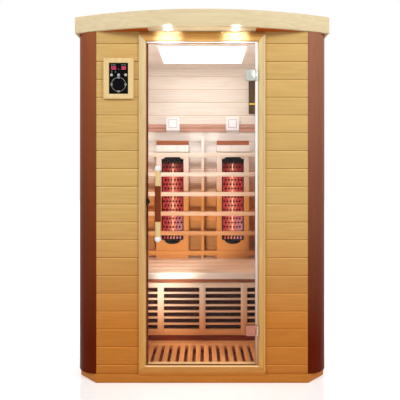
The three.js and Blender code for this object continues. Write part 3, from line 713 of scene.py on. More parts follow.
class Tree(NodeMaker):
    """A Geometry Nodes tree with named inputs."""

    def __init__(self, name):
        super().__init__(bpy.data.node_groups.new(name, "GeometryNodeTree"))
        self.tree.interface.new_socket("Geometry", in_out="OUTPUT", socket_type="NodeSocketGeometry")
        self.entry = self.tree.nodes.new("NodeGroupInput")

    def ask(self, name, kind):
        """A named input of the tree."""
        self.tree.interface.new_socket(name, in_out="INPUT", socket_type=f"NodeSocket{kind}")
        return Socket(self, next(s for s in self.entry.outputs if s.name == name))

    def line(self, count, start, step):
        settings = {"mode": "OFFSET", "count_mode": "TOTAL"}
        sockets = {"Count": count, "Start Location": start, "Offset": step}
        return self.add("GeometryNodeMeshLine", settings, sockets)

    def repeat(self, points, shape, **more):
        return self.add("GeometryNodeInstanceOnPoints", sockets={"Points": points, "Instance": shape, **more})

    def rows_and_columns(self, shape):
        """A shape repeated in rows, and the rows in columns."""
        row = self.line(self.ask("Rows", "Int"), (0, 0, 0), self.ask("Row Step", "Vector"))
        start, step = self.ask("Start", "Vector"), self.ask("Column Step", "Vector")
        column = self.line(self.ask("Columns", "Int"), start, step)
        return self.repeat(column, self.repeat(row, shape))

    def finish(self, geometry, material):
        whole = self.add("GeometryNodeRealizeInstances", sockets={"Geometry": geometry})
        sockets = {"Geometry": whole, "Material": material}
        painted = self.add("GeometryNodeSetMaterial", sockets=sockets)
        out = self.tree.nodes.new("NodeGroupOutput")
        self.tree.links.new(painted.socket, out.inputs[0])
        return self.tree


def tree_once(make):
    """Keeps each tree that a function builds."""

    def kept():
        return bpy.data.node_groups.get(make.__name__) or make(make.__name__)

    return kept


@tree_once
def bar_rows(name):
    """Bars in rows and columns."""
    tree = Tree(name)
    bar = tree.add("GeometryNodeMeshCube", sockets={"Size": tree.ask("Size", "Vector")})
    return tree.finish(tree.rows_and_columns(bar), tree.ask("Material", "Material"))


@tree_once
def screw_rows(name):
    """Screw heads with a recess, facing the front, in rows and columns."""
    tree = Tree(name)
    radius = tree.ask("Radius", "Float")
    disc = tree.add(
        "GeometryNodeMeshCircle", {"fill_type": "NGON"}, {"Vertices": 12, "Radius": radius}
    )
    shape = disc
    top = None
    for rise, spread in ((0.35, 1.0), (0.2, 0.8), (0.0, 0.5), (-0.35, 0.9)):
        sockets = {"Mesh": shape, "Offset Scale": radius * rise}
        if top:
            sockets["Selection"] = top
        raised = tree.add("GeometryNodeExtrudeMesh", {"mode": "FACES"}, sockets, "Mesh")
        top = Socket(tree, raised.socket.node.outputs["Top"])
        sockets = {"Geometry": raised, "Selection": top, "Scale": spread}
        shape = tree.add("GeometryNodeScaleElements", {"domain": "FACE"}, sockets)
    facing = tree.add(
        "GeometryNodeTransform", sockets={"Geometry": shape, "Rotation": (math.pi / 2, 0, 0)}
    )
    return tree.finish(tree.rows_and_columns(facing), tree.ask("Material", "Material"))


@tree_once
def guard_mesh(name):
    """Knots in staggered rows on a curved guard, each with two crossing wires."""
    tree = Tree(name)
    column, row = tree.ask("Column", "Float"), tree.ask("Row", "Float")
    knot, wire = tree.ask("Knot", "Float"), tree.ask("Wire", "Float")
    columns, rows = tree.ask("Columns", "Int"), tree.ask("Rows", "Int")
    bulge, half = tree.ask("Bulge", "Float"), tree.ask("Half", "Float")
    start = tree.ask("Start", "Vector")
    sockets = {"Radius": knot, "Subdivisions": 1}
    ball = tree.add("GeometryNodeMeshIcoSphere", sockets=sockets)
    flat = tree.add("GeometryNodeTransform", sockets={"Geometry": ball, "Scale": (1, 0.4, 1)})
    slope = tree.maths("ARCTAN2", column / 2, row)
    span = tree.maths("SQRT", (column / 2) ** 2 + row**2)
    wires = []
    for lean in (1, -1):
        size = tree.vector(wire, wire, span)
        bar = tree.add("GeometryNodeMeshCube", sockets={"Size": size})
        euler = tree.vector(0.0, slope * lean, 0.0)
        turn = tree.add("FunctionNodeEulerToRotation", sockets={"Euler": euler})
        wires.append(tree.add("GeometryNodeTransform", sockets={"Geometry": bar, "Rotation": turn}))
    cross = tree.add("GeometryNodeJoinGeometry", sockets={"Geometry": [flat, *wires]})
    pair = tree.line(2, (0, 0, 0), tree.vector(column / 2, 0.0, row))
    across = tree.line(columns, (0, 0, 0), tree.vector(column, 0.0, 0.0))
    up = tree.line(rows, start, tree.vector(0.0, 0.0, row * 2))
    dots = tree.repeat(up, tree.repeat(across, pair))
    dots = tree.add("GeometryNodeRealizeInstances", sockets={"Geometry": dots})
    here = tree.split(tree.add("GeometryNodeInputPosition"))[0] - tree.ask("Middle", "Float")
    back = bulge * (here / half) ** 2
    sockets = {"Geometry": dots, "Offset": tree.vector(0.0, back, 0.0)}
    curved = tree.add("GeometryNodeSetPosition", sockets=sockets)
    lean = tree.maths("ARCTANGENT", 2 * bulge * here / (half * half))
    turn = tree.add("FunctionNodeEulerToRotation", sockets={"Euler": tree.vector(0.0, 0.0, lean)})
    return tree.finish(tree.repeat(curved, cross, Rotation=turn), tree.ask("Material", "Material"))


def grown(tree, edge=0.0, **values):
    """The plain mesh that a tree makes from its named inputs, with its edges rounded if asked."""
    holder = bpy.data.objects.new("holder", bpy.data.meshes.new("holder"))
    bpy.context.scene.collection.objects.link(holder)
    modifier = holder.modifiers.new("nodes", "NODES")
    modifier.node_group = tree
    for item in tree.interface.items_tree:
        if item.in_out == "INPUT":
            modifier[item.identifier] = values[item.name.lower().replace(" ", "_")]
    graph = bpy.context.evaluated_depsgraph_get()
    mesh = bpy.data.meshes.new_from_object(holder.evaluated_get(graph))
    bpy.data.objects.remove(holder)
    bm = bmesh.new()
    bm.from_mesh(mesh)
    bpy.data.meshes.remove(mesh)
    for face in bm.faces:
        face.material_index = 0
    if edge:
        round_edges(bm, edge)
    return to_mesh(bm, values["material"])


def bars(size, start, rows, row_step, material, edge, columns=1, column_step=(0, 0, 0)):
    """Rounded bars in rows and columns. Start is the middle of the first."""
    return grown(
        bar_rows(),
        edge,
        size=size,
        rows=rows,
        row_step=row_step,
        start=start,
        columns=columns,
        column_step=column_step,
        material=material,
    )


def screws(radius, start, rows, row_step, columns, column_step, material):
    """Screw heads in rows and columns, on a face that looks to the front."""
    return grown(
        screw_rows(),
        radius=radius,
        rows=rows,
        row_step=row_step,
        start=start,
        columns=columns,
        column_step=column_step,
        material=material,
    )


SIDES = ("left", "right")


class CabinStep:
    """What the steps have in common."""

    bl_options = {"REGISTER", "UNDO"}

    def prepare(self, context):
        self.sizes = context.scene.cabin_sizes
        self.finish = Finishes(context.scene)


# Walls


class CABIN_OT_walls(CabinStep, bpy.types.Operator):
    """Boarded walls, round corner posts and the base"""

    bl_idname = "cabin.walls"
    bl_label = "Walls"

    def execute(self, context):
        self.prepare(context)
        for side, sign in zip(SIDES, (-1, 1)):
            self.boarded(f"front_panel_{side}", "X", Vector((0, 1, 0)))
            self.boarded(f"side_wall_{side}", "Y", Vector((-sign, 0, 0)))
            self.post(f"corner_post_{side}", side)
        self.boarded("back_wall", "X", Vector((0, -1, 0)))
        base = softened("base_panel", self.sizes.soft_edge, self.finish.wall("X"))
        piece("base", base, ["base_panel"])
        return {"FINISHED"}

    def boarded(self, node, run, inward):
        """A wall with one finish outside and another on the face that looks into the room."""
        finish = self.finish
        room = finish.room("wall", run, ("Z", self.sizes.room_joint, self.sizes.room_pitch), seam=0.2)
        mesh = softened(
            node,
            self.sizes.groove_edge,
            finish.wall(run),
            room,
            change=lambda bm: self.move_grooves(bm, inward),
        )
        paint_faces(mesh, 1, lambda middle, normal: normal.dot(inward) > 0.5)
        piece(f"wall_{node}", mesh, [node])

    def move_grooves(self, bm, inward):
        """Moves the grooves of the inner face to the joints of the boards inside, where those fit."""
        sizes = self.sizes
        reach, margin = 8 * MM, 12 * MM
        face = max(vert.co.dot(inward) for vert in bm.verts)
        top = max(vert.co.z for vert in bm.verts)
        level = round((sizes.room_joint - sizes.first_joint) / sizes.board_pitch)
        for vert in bm.verts:
            depth = face - vert.co.dot(inward)
            count = round((vert.co.z - sizes.first_joint) / sizes.board_pitch)
            joint = sizes.first_joint + count * sizes.board_pitch
            if depth > reach or abs(vert.co.z - joint) > reach:
                continue
            lift = sizes.room_joint + (count - level) * sizes.room_pitch - joint
            if joint + lift < top - margin:
                vert.co.z += lift
            else:
                vert.co += inward * depth

    def post(self, node, side):
        """A post with a round outside and a slanted inside corner."""
        low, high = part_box(node)
        radius = high.x - low.x
        panel_low, panel_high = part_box("front_panel_left")
        wall = panel_high.y - panel_low.y
        slant = 25 * MM
        sign = -1 if side == "left" else 1
        seam = low.x if sign > 0 else high.x
        outline = [(seam, low.y + wall), (seam, low.y)]
        for angle in arc(0, 90, 24)[1:]:
            outline.append((seam + sign * radius * math.sin(angle), high.y - radius * math.cos(angle)))
        inner = seam + sign * (radius - wall)
        outline += [(inner, high.y), (inner, low.y + wall + slant), (inner - sign * slant, low.y + wall)]
        rings = [[Vector((x, y, z)) for x, y in outline] for z in (low.z, high.z)]
        # On the right post the high tone carries a painted sheen.
        high_tone, low_tone = self.finish.tint(f"post_{side}"), self.finish.tint("post_low")
        stain = timber(f"post_{side}", high_tone, low_tone, "Z", None, 0.4, 0.3, (0.2, 1.8), shine=0.03)
        mesh = skin(rings, stain)
        mesh.materials.append(self.finish.room("post", "Z"))
        edge_y = low.y + wall - 1 * MM
        edge_x = abs(inner) + 1 * MM
        paint_faces(mesh, 1, lambda middle, normal: middle.y > edge_y and abs(middle.x) < edge_x)
        piece(f"post_{side}", mesh, [node])


# Roof


class CABIN_OT_roof(CabinStep, bpy.types.Operator):
    """Bowed fascia, side fascias, canopy soffit and the roof panel"""

    bl_idname = "cabin.roof"
    bl_label = "Roof"

    def execute(self, context):
        self.prepare(context)
        self.front_fascia()
        for side in SIDES:
            node = f"fascia_{side}"
            board = block(*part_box(node), self.sizes.soft_edge, self.finish.maple("Y"))
            piece(f"roof_{node}", board, [node])
        self.soffit()
        ceiling = self.finish.room("ceiling", "X", ("Y", 0.0, self.sizes.board_pitch), seam=0.2)
        roof = softened("roof_panel", 0, self.finish.maple("X"), ceiling)
        paint_faces(roof, 1, lambda middle, normal: normal.z < -0.5)
        piece("roof", roof, ["roof_panel"])
        return {"FINISHED"}

    def soffit(self):
        """Stained board with painted shade at its sides, and a pale middle above the doorway that is a painted pool
        of light from the downlights.
        """
        board = softened("canopy_soffit", 0, self.finish.stain("soffit", "X"), self.finish.maple("X"))
        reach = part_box("door_jamb_right")[0].x - 15 * MM
        for x in (-reach, reach):
            split(board, x)
        # Painted light: the middle above the doorway takes the pale maple.
        paint_faces(board, 1, lambda middle, normal: abs(middle.x) < reach)
        piece("soffit", board, ["canopy_soffit"])

    def front_fascia(self):
        """A board bent along the bow, with rounded edges."""
        low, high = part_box("fascia_front")
        half = high.x
        bow = self.sizes.roof_bow
        radius = (half**2 + bow**2) / (2 * bow)
        centre = low.y + radius
        thick = high.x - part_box("fascia_right")[0].x
        soft = self.sizes.soft_edge
        section = []
        for inward, z, start in (
            (soft, low.z + soft, 270),
            (soft, high.z - soft, 180),
            (thick - soft, high.z - soft, 90),
            (thick - soft, low.z + soft, 0),
        ):
            for angle in arc(start, start - 90, 3):
                section.append((inward + soft * math.cos(angle), z + soft * math.sin(angle)))
        rings = []
        for i in range(self.sizes.bow_steps + 1):
            share = 2 * i / self.sizes.bow_steps - 1
            ring = []
            for inward, z in section:
                reach = radius - inward
                angle = math.asin(half / reach) * share
                ring.append(Vector((reach * math.sin(angle), centre - reach * math.cos(angle), z)))
            rings.append(ring)
        piece("fascia_bow", skin(rings, self.finish.maple("X")), ["fascia_front"])


# Lamps


class CABIN_OT_lamps(CabinStep, bpy.types.Operator):
    """Downlights in the canopy, the ceiling lamp and the two square wall lamps"""

    bl_idname = "cabin.lamps"
    bl_label = "Lamps"

    def execute(self, context):
        self.prepare(context)
        for side in SIDES:
            self.downlight(side)
            self.wall_lamp(side)
        lamp = softened("ceiling_lamp_frame", self.sizes.edge, self.finish.room("lamp", "X"))
        piece("ceiling_frame", lamp, ["ceiling_lamp_frame"])
        opal = lit("ceiling_opal", (1.0, 0.98, 0.95), self.finish.light.ceiling)
        cover = softened("ceiling_lamp_diffuser", self.sizes.soft_edge, opal)
        piece("ceiling_cover", cover, ["ceiling_lamp_diffuser"])
        return {"FINISHED"}

    def downlight(self, side):
        """Ring, housing and bright lens."""
        node = f"downlight_{side}"
        low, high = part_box(node)
        x, y, _ = middle_of(node)
        rim = (high.x - low.x) / 2
        lens = rim * 0.9
        steps = self.sizes.turn_steps
        face = low.z
        rim_top = face + 3 * MM
        ring = [
            (lens, face + 1 * MM), (lens + 1 * MM, face), (rim - 1 * MM, face + 0.5 * MM),
            (rim, face + 1.5 * MM), (rim, rim_top), (rim * 0.81, rim_top), (rim * 0.81, high.z),
            (rim * 0.74, high.z), (rim * 0.74, face + 2 * MM), (lens, face + 2 * MM),
        ]
        glass = [(0, face + 0.6 * MM), (lens * 0.6, face + 0.8 * MM), (lens, face + 1.4 * MM)]
        glass += [(lens, face + 2 * MM), (0, face + 2 * MM)]
        axis = (0, 0, 1)
        glow = lit("spot_lens", (1.0, 0.93, 0.8), self.finish.light.spots)
        mesh = joined(
            turned(ring, (x, y, 0), axis, steps, self.finish.chrome(), closed=True),
            turned(glass, (x, y, 0), axis, steps, glow),
        )
        piece(f"spot_{side}", mesh, [node])

    def wall_lamp(self, side):
        """White box with a raised cover inside a grey line."""
        node = f"wall_lamp_{side}"
        low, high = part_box(node)
        border, line, rise = 17 * MM, 4 * MM, 2 * MM
        # The box glows faintly as painted light, so that it reads bright white.
        white = lit("lamp_box", shade(244, 242, 244), 0.08, 200.0)
        body = block((low.x, low.y + rise, low.z), high, self.sizes.soft_edge, white)
        rim = self.plate(low, high, border, low.y + rise / 2, moulded("grey_line", shade(196, 190, 202)))
        opal = lit("lamp_cover", shade(244, 242, 246), 0.15, 200.0)
        cover = self.plate(low, high, border + line, low.y, opal)
        reach = border / 2
        span = high.x - low.x - 2 * reach
        heads = screws(
            2 * MM,
            (low.x + reach, low.y + rise, low.z + reach),
            2, (span, 0, 0), 2, (0, 0, span),
            self.finish.chrome(),
        )
        piece(f"square_lamp_{side}", joined(body, rim, cover, heads), [node])

    def plate(self, low, high, inset, front, material):
        """A flat square inside the box's outline."""
        near = (low.x + inset, front, low.z + inset)
        far = (high.x - inset, low.y + 4 * MM, high.z - inset)
        return block(near, far, self.sizes.groove_edge, material)


# Door frame


class CABIN_OT_door_frame(CabinStep, bpy.types.Operator):
    """Mitred frame around the doorway, with sloped edges and a bead, and the stop behind the door"""

    bl_idname = "cabin.door_frame"
    bl_label = "Door frame"

    def execute(self, context):
        self.prepare(context)
        low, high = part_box("door_jamb_left")
        self.front, self.back = low.y, high.y
        self.outer, self.inner = -low.x, -high.x
        self.top, self.bottom = high.z, low.z
        self.open_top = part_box("door_head")[0].z
        self.open_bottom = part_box("door_sill")[1].z
        for side, sign in zip(SIDES, (-1, 1)):
            self.jamb(side, sign)
        self.head()
        self.sill()
        self.stop()
        return {"FINISHED"}

    def jamb(self, side, sign):
        gap = self.sizes.mitre_gap
        outer, inner = sign * self.outer, sign * self.inner
        ends = (
            ((outer, self.bottom + gap), (inner, self.open_bottom + gap)),
            ((outer, self.top - gap), (inner, self.open_top - gap)),
        )
        mesh = self.strip(ends, self.outer - self.inner, "Z")
        piece(f"jamb_{side}", mesh, [f"door_jamb_{side}"])

    def head(self):
        """The top of the frame and the strip above it."""
        outer, inner, top = self.outer, self.inner, self.top
        ends = (((-outer, top), (-inner, self.open_top)), ((outer, top), (inner, self.open_top)))
        frame_part = self.strip(ends, top - self.open_top, "X")
        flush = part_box("front_panel_left")[0].y
        far = (outer, self.back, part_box("door_head")[1].z)
        above = block((-outer, flush, top), far, self.sizes.edge, self.finish.trim("X"))
        piece("head", joined(frame_part, above), ["door_head"])

    def sill(self):
        """The foot of the frame and the threshold under it."""
        outer, inner, bottom = self.outer, self.inner, self.bottom
        ends = (((-outer, bottom), (-inner, self.open_bottom)), ((outer, bottom), (inner, self.open_bottom)))
        frame_part = self.strip(ends, self.open_bottom - bottom, "X", beaded=False)
        # Painted highlight on the faces that look up.
        frame_part.materials.append(self.finish.sill_edge())
        paint_faces(frame_part, 1, lambda middle, normal: normal.z > 0.5)
        near = (-outer, self.front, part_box("door_sill")[0].z)
        under = block(near, (outer, self.back, bottom), 0, self.finish.wall("X"))
        piece("sill", joined(frame_part, under), ["door_sill"])

    def stop(self):
        """Dark strips on the frame behind the glass, along the handle side and the foot."""
        width = self.sizes.door_stop
        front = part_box("door_catch")[1].y
        side = block(
            (-self.inner, front, self.open_bottom),
            (width - self.inner, front + width, self.open_top),
            self.sizes.groove_edge,
            self.finish.stain("toe", "Z"),
        )
        glass_low, glass_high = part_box("door_glass")
        foot = block(
            (-self.inner, glass_low.y, self.open_bottom),
            (self.inner, glass_high.y + 2 * MM, self.open_bottom + 1.5 * MM),
            0,
            self.finish.stain("brown", "X"),
        )
        piece("door_stop", joined(side, foot))

    def strip(self, ends, width, run, beaded=True):
        """One side of the frame. Each end is a mitre from its outer to its inner corner, in X and Z."""
        chamfer, bead = self.sizes.trim_chamfer, self.sizes.trim_bead
        cut = 1.5 * MM
        front, back = self.front, self.back
        profile = [(0, back), (0, front)]
        if beaded:
            profile[1:] = [
                (0, front + chamfer), (chamfer * 0.4, front + chamfer * 0.35), (chamfer, front),
                (bead, front), (bead + cut, front + 2 * cut), (bead + 2 * cut, front + cut),
            ]
        profile += [(width - chamfer, front + cut), (width, front + cut + chamfer), (width, back)]
        rings = []
        for outer, inner in ends:
            ring = []
            for across, y in profile:
                share = across / width
                x = outer[0] + (inner[0] - outer[0]) * share
                z = outer[1] + (inner[1] - outer[1]) * share
                ring.append(Vector((x, y, z)))
            rings.append(ring)
        return skin(rings, self.finish.trim(run))


# Glass door


class CABIN_OT_door(CabinStep, bpy.types.Operator):
    """Glass pane, its seal, the turned handle and the catch"""

    bl_idname = "cabin.door"
    bl_label = "Glass door"

    def execute(self, context):
        self.prepare(context)
        # The glass's cut edges are brown as painted shade, for the shaded jamb seen behind them.
        shaded_cut_edge = moulded("glass_edge", shade(126, 86, 56), 0.4, 0.1)
        pane = block(*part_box("door_glass"), self.sizes.edge, clear_pane("clear_glass"))
        pane.materials.append(shaded_cut_edge)
        paint_faces(pane, 1, lambda middle, normal: abs(normal.y) < 0.9)
        piece("pane", pane, ["door_glass"], "door")
        vinyl = moulded("white_vinyl", shade(250, 250, 248), 0.3, foot=shade(172, 130, 106))
        seal = softened("door_seal", self.sizes.edge, vinyl)
        piece("seal", seal, ["door_seal"], "door")
        rubber = moulded("rubber", shade(20, 19, 20), 0.7, 0.2)
        stop = softened("door_catch", self.sizes.soft_edge, rubber)
        piece("catch", stop, ["door_catch"])
        self.handle()
        return {"FINISHED"}

    def handle(self):
        """A bar with a white knob at each end, on two posts, and a brown grip in its middle."""
        low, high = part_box("door_handle")
        grip_low, grip_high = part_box("handle_grip")
        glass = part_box("door_glass")[0].y
        knob = (high.x - low.x) / 2
        bar_radius = knob - self.sizes.handle_neck
        x, y = (low.x + high.x) / 2, low.y + knob
        middle = (low.z + high.z) / 2
        end = high.z - middle
        grip = grip_high.z - middle
        ball = end - knob
        neck = ball - math.sqrt(knob**2 - bar_radius**2)
        steps = self.sizes.turn_steps
        wood = self.finish.stain("honey", "Z", 0.35)
        post_radius, plate = 9 * MM, 3 * MM
        post_place = end - 28 * MM
        start = -math.degrees(math.acos(bar_radius / knob))
        parts = []
        for sign in (-1, 1):
            axis = (0, 0, sign)
            dome = [(knob * math.cos(a), ball + knob * math.sin(a)) for a in arc(start, 90, 16)]
            white = [(0, neck), *dome[:-1], (0, end)]
            parts.append(turned(white, (x, y, middle), axis, steps, self.finish.white()))
            bar = [(0, grip), (bar_radius - 1 * MM, grip), (bar_radius, grip + 1 * MM), (bar_radius, neck), (0, neck)]
            parts.append(turned(bar, (x, y, middle), axis, steps, wood))
            z = middle + sign * post_place
            post = [(0, 0), (post_radius, 0), (post_radius, glass - y - plate), (0, glass - y - plate)]
            parts.append(turned(post, (x, y, z), (0, 1, 0), steps, wood))
            flange = [(0, 0), (post_radius * 1.5, 0.8 * MM)]
            flange += [(post_radius * 1.6, plate - 0.4 * MM), (0, plate - 0.4 * MM)]
            parts.append(turned(flange, (x, glass - plate, z), (0, 1, 0), steps, self.finish.chrome()))
        piece("handle", joined(*parts), ["door_handle"], "door")
        wide = (grip_high.x - grip_low.x) / 2
        lip = 1.5 * MM
        shape = [(0, -grip), (wide - lip, -grip), (wide, lip - grip), (wide, grip - lip), (wide - lip, grip)]
        shape.append((0, grip))
        sleeve = turned(shape, (x, y, middle), (0, 0, 1), steps, self.finish.stain("brown", "Z"))
        piece("grip", sleeve, ["handle_grip"], "door")


class CABIN_OT_hinges(CabinStep, bpy.types.Operator):
    """Square chrome clamps on the glass and their brackets on the jamb"""

    bl_idname = "cabin.hinges"
    bl_label = "Hinges"

    def execute(self, context):
        self.prepare(context)
        for place in ("upper", "lower"):
            self.clamp(place)
            self.bracket(place)
        return {"FINISHED"}

    def clamp(self, place):
        """Plates on both faces of the glass, a web past its edge, and two knuckles on arms."""
        node = f"hinge_clamp_{place}"
        low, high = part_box(node)
        glass_low, glass_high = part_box("door_glass")
        chrome, satin = self.finish.chrome(), self.finish.satin()
        z = (low.z + high.z) / 2
        half = (high.z - low.z) / 2
        knuckle = 6 * MM
        pivot_x, pivot_y = high.x - knuckle, low.y + knuckle
        middle = (low.x + half, z)
        gap = 0.3 * MM
        front = glass_low.y - gap - 8 * MM
        back = glass_high.y + gap
        parts = [
            self.plate(middle, half, front, glass_low.y - gap, satin),
            self.plate(middle, half, high.y, back, satin),
        ]
        inner = half - self.sizes.clamp_inset
        parts.append(self.plate(middle, inner, front - 1 * MM, front + 1 * MM, satin))
        web_low = (low.x + 2 * half - 4 * MM, front + 1 * MM, low.z + 2 * MM)
        web_high = (low.x + 2 * half, high.y - 1 * MM, high.z - 2 * MM)
        parts.append(block(web_low, web_high, self.sizes.groove_edge, chrome))
        start = 18.3 * MM
        for sign in (-1, 1):
            profile = [(0, start), (knuckle, start), (knuckle, half - 1 * MM), (knuckle - 1 * MM, half), (0, half)]
            parts.append(turned(profile, (pivot_x, pivot_y, z), (0, 0, sign), 24, chrome))
            heights = sorted((z + sign * start, z + sign * half))
            arm_low = (glass_high.x, pivot_y, heights[0])
            arm_high = (pivot_x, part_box("door_seal")[0].y - gap, heights[1])
            parts.append(block(arm_low, arm_high, self.sizes.groove_edge, chrome))
        reach = inner * 0.55
        face = (middle[0], front - 1 * MM, z - reach)
        parts.append(screws(self.sizes.screw_head, face, 2, (0, 0, 2 * reach), 1, (0, 0, 0), satin))
        piece(f"clamp_{place}", joined(*parts), [node], "door")

    def plate(self, middle, half, front, back, material):
        """A square plate with round corners and a rounded rim, from one Y to another."""
        rim = self.sizes.groove_edge
        sign = math.copysign(1, back - front)
        corner = min(self.sizes.clamp_round, half / 3)
        rings = [
            rounded_square(middle, half - rim, corner - rim, front),
            rounded_square(middle, half - rim * 0.3, corner - rim * 0.3, front + sign * rim * 0.3),
            rounded_square(middle, half, corner, front + sign * rim),
            rounded_square(middle, half, corner, back),
        ]
        return skin(rings, material)

    def bracket(self, place):
        """Middle knuckle with its pin, and the leaf on the jamb."""
        node = f"hinge_bracket_{place}"
        low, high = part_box(node)
        chrome = self.finish.chrome()
        knuckle, half, pin, leaf = 6 * MM, 18 * MM, 3 * MM, 2.8 * MM
        x = low.x + knuckle
        y = low.y + knuckle
        z = (low.z + high.z) / 2
        reach = (high.z - low.z) / 2
        barrel = [(0, -half), (knuckle - 1 * MM, -half), (knuckle, 1 * MM - half)]
        barrel += [(radius, -along) for radius, along in reversed(barrel)]
        rod = [(0, -reach), (pin, -reach), (pin, reach), (0, reach)]
        mesh = joined(
            turned(barrel, (x, y, z), (0, 0, 1), 24, chrome),
            turned(rod, (x, y, z), (0, 0, 1), 16, chrome),
            block((high.x - leaf, y, z - half), (high.x, high.y, z + half), self.sizes.groove_edge, chrome),
        )
        piece(f"bracket_{place}", mesh, [node])


# Control unit


SEGMENTS = {
    "0": "abcdef",
    "3": "abcdg",
    "5": "acdfg",
    "6": "acdefg",
}


class CABIN_OT_control(CabinStep, bpy.types.Operator):
    """Wooden frame, black panel with a lit display, and three keys"""

    bl_idname = "cabin.control"
    bl_label = "Control unit"

    def execute(self, context):
        self.prepare(context)
        mesh = softened("control_frame", self.sizes.soft_edge, self.finish.stain("honey", "Z", 0.35))
        piece("control_surround", mesh, ["control_frame"])
        gloss = moulded("black_panel", shade(7, 4, 4), 0.25, 0.06)
        panel = softened("control_panel", 0.5 * MM, gloss)
        piece("control_face", panel, ["control_panel"])
        self.marks()
        for side in ("left", "middle", "right"):
            self.key(f"key_{side}")
        return {"FINISHED"}

    def key(self, node):
        """A shallow domed key."""
        low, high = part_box(node)
        radius = (high.x - low.x) / 2
        x, _, z = middle_of(node)
        deep = high.y - low.y
        profile = [(0, 0), (radius * 0.5, 0.1 * MM), (radius * 0.85, 0.4 * MM), (radius, 1 * MM)]
        profile += [(radius, deep), (0, deep)]
        cap = moulded("key_cap", shade(184, 180, 172), 0.3)
        mesh = turned(profile, (x, low.y, z), (0, 1, 0), self.sizes.turn_steps, cap)
        piece(f"button_{node}", mesh, [node], node)

    def marks(self):
        """Digits, signs and a ring with four diamonds, printed on the panel."""
        self.middle = middle_of("control_panel")
        self.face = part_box("control_panel")[0].y
        red = lit("red_digits", shade(255, 92, 136), 0.8)
        print_white = moulded("printed_white", shade(160, 160, 158), 0.4)
        parts = []
        for text, left in (("55", -37), ("30", 14)):
            for i, digit in enumerate(text):
                parts += self.digit(digit, left + 13 * i, 53.5, red)
        for x0, x1 in ((-40, -34), (-31, -14), (14, 22), (25, 38)):
            parts.append(self.tab(x0, x1, 68.5, 70.5, print_white))
        for x in (-1, 1):
            parts.append(self.tab(x - 1, x + 1, 47, 49, print_white))
        for x in (-35, -16):
            parts.append(self.tab(x - 1, x + 1, 30, 38, print_white))
            parts.append(self.tab(x - 3, x + 3, 33, 34.5, print_white))
        ring, drop = 36, -31
        parts.append(self.ring(drop, ring, 1.8, print_white))
        for x, z in ((0, ring), (0, -ring), (ring, 0), (-ring, 0)):
            parts.append(self.diamond(x, z + drop, 7, print_white))
        piece("control_marks", joined(*parts))

    def tab(self, x0, x1, z0, z1, material):
        """A printed bar, in millimetres from the middle of the panel."""
        centre = self.middle
        thick = 0.3 * MM
        low = (centre.x + x0 * MM, self.face - thick, centre.z + z0 * MM)
        high = (centre.x + x1 * MM, self.face + thick, centre.z + z1 * MM)
        return block(low, high, 0, material)

    def digit(self, digit, x, z, material):
        """A digit of seven bars, in millimetres."""
        wide, tall, line = 10, 14, 1.3
        half = tall / 2
        boxes = {
            "a": (0, wide, half - line, half),
            "d": (0, wide, -half, line - half),
            "g": (0, wide, -line / 2, line / 2),
            "f": (0, line, 0.3, half),
            "b": (wide - line, wide, 0.3, half),
            "e": (0, line, -half, -0.3),
            "c": (wide - line, wide, -half, -0.3),
        }
        lit_bars = [boxes[name] for name in SEGMENTS[digit]]
        return [self.tab(x + x0, x + x1, z + z0, z + z1, material) for x0, x1, z0, z1 in lit_bars]

    def mark_place(self, x, z):
        """A point of the panel's face, from millimetres."""
        return (self.middle.x + x * MM, self.face, self.middle.z + z * MM)

    def ring(self, z, radius, line, material):
        thick = 0.3 * MM
        inner, outer = (radius - line / 2) * MM, (radius + line / 2) * MM
        profile = [(inner, -thick), (outer, -thick), (outer, thick), (inner, thick)]
        return turned(profile, self.mark_place(0, z), (0, 1, 0), 64, material, closed=True)

    def diamond(self, x, z, half, material):
        """A diamond that stands on its point, with an open middle."""
        thick = 0.35 * MM
        outer = half * MM
        inner = outer * 0.5
        profile = [(inner, -thick), (outer, -thick), (outer, thick), (inner, thick)]
        return turned(profile, self.mark_place(x, z), (0, 1, 0), 4, material, closed=True)


# Floor grid and bench


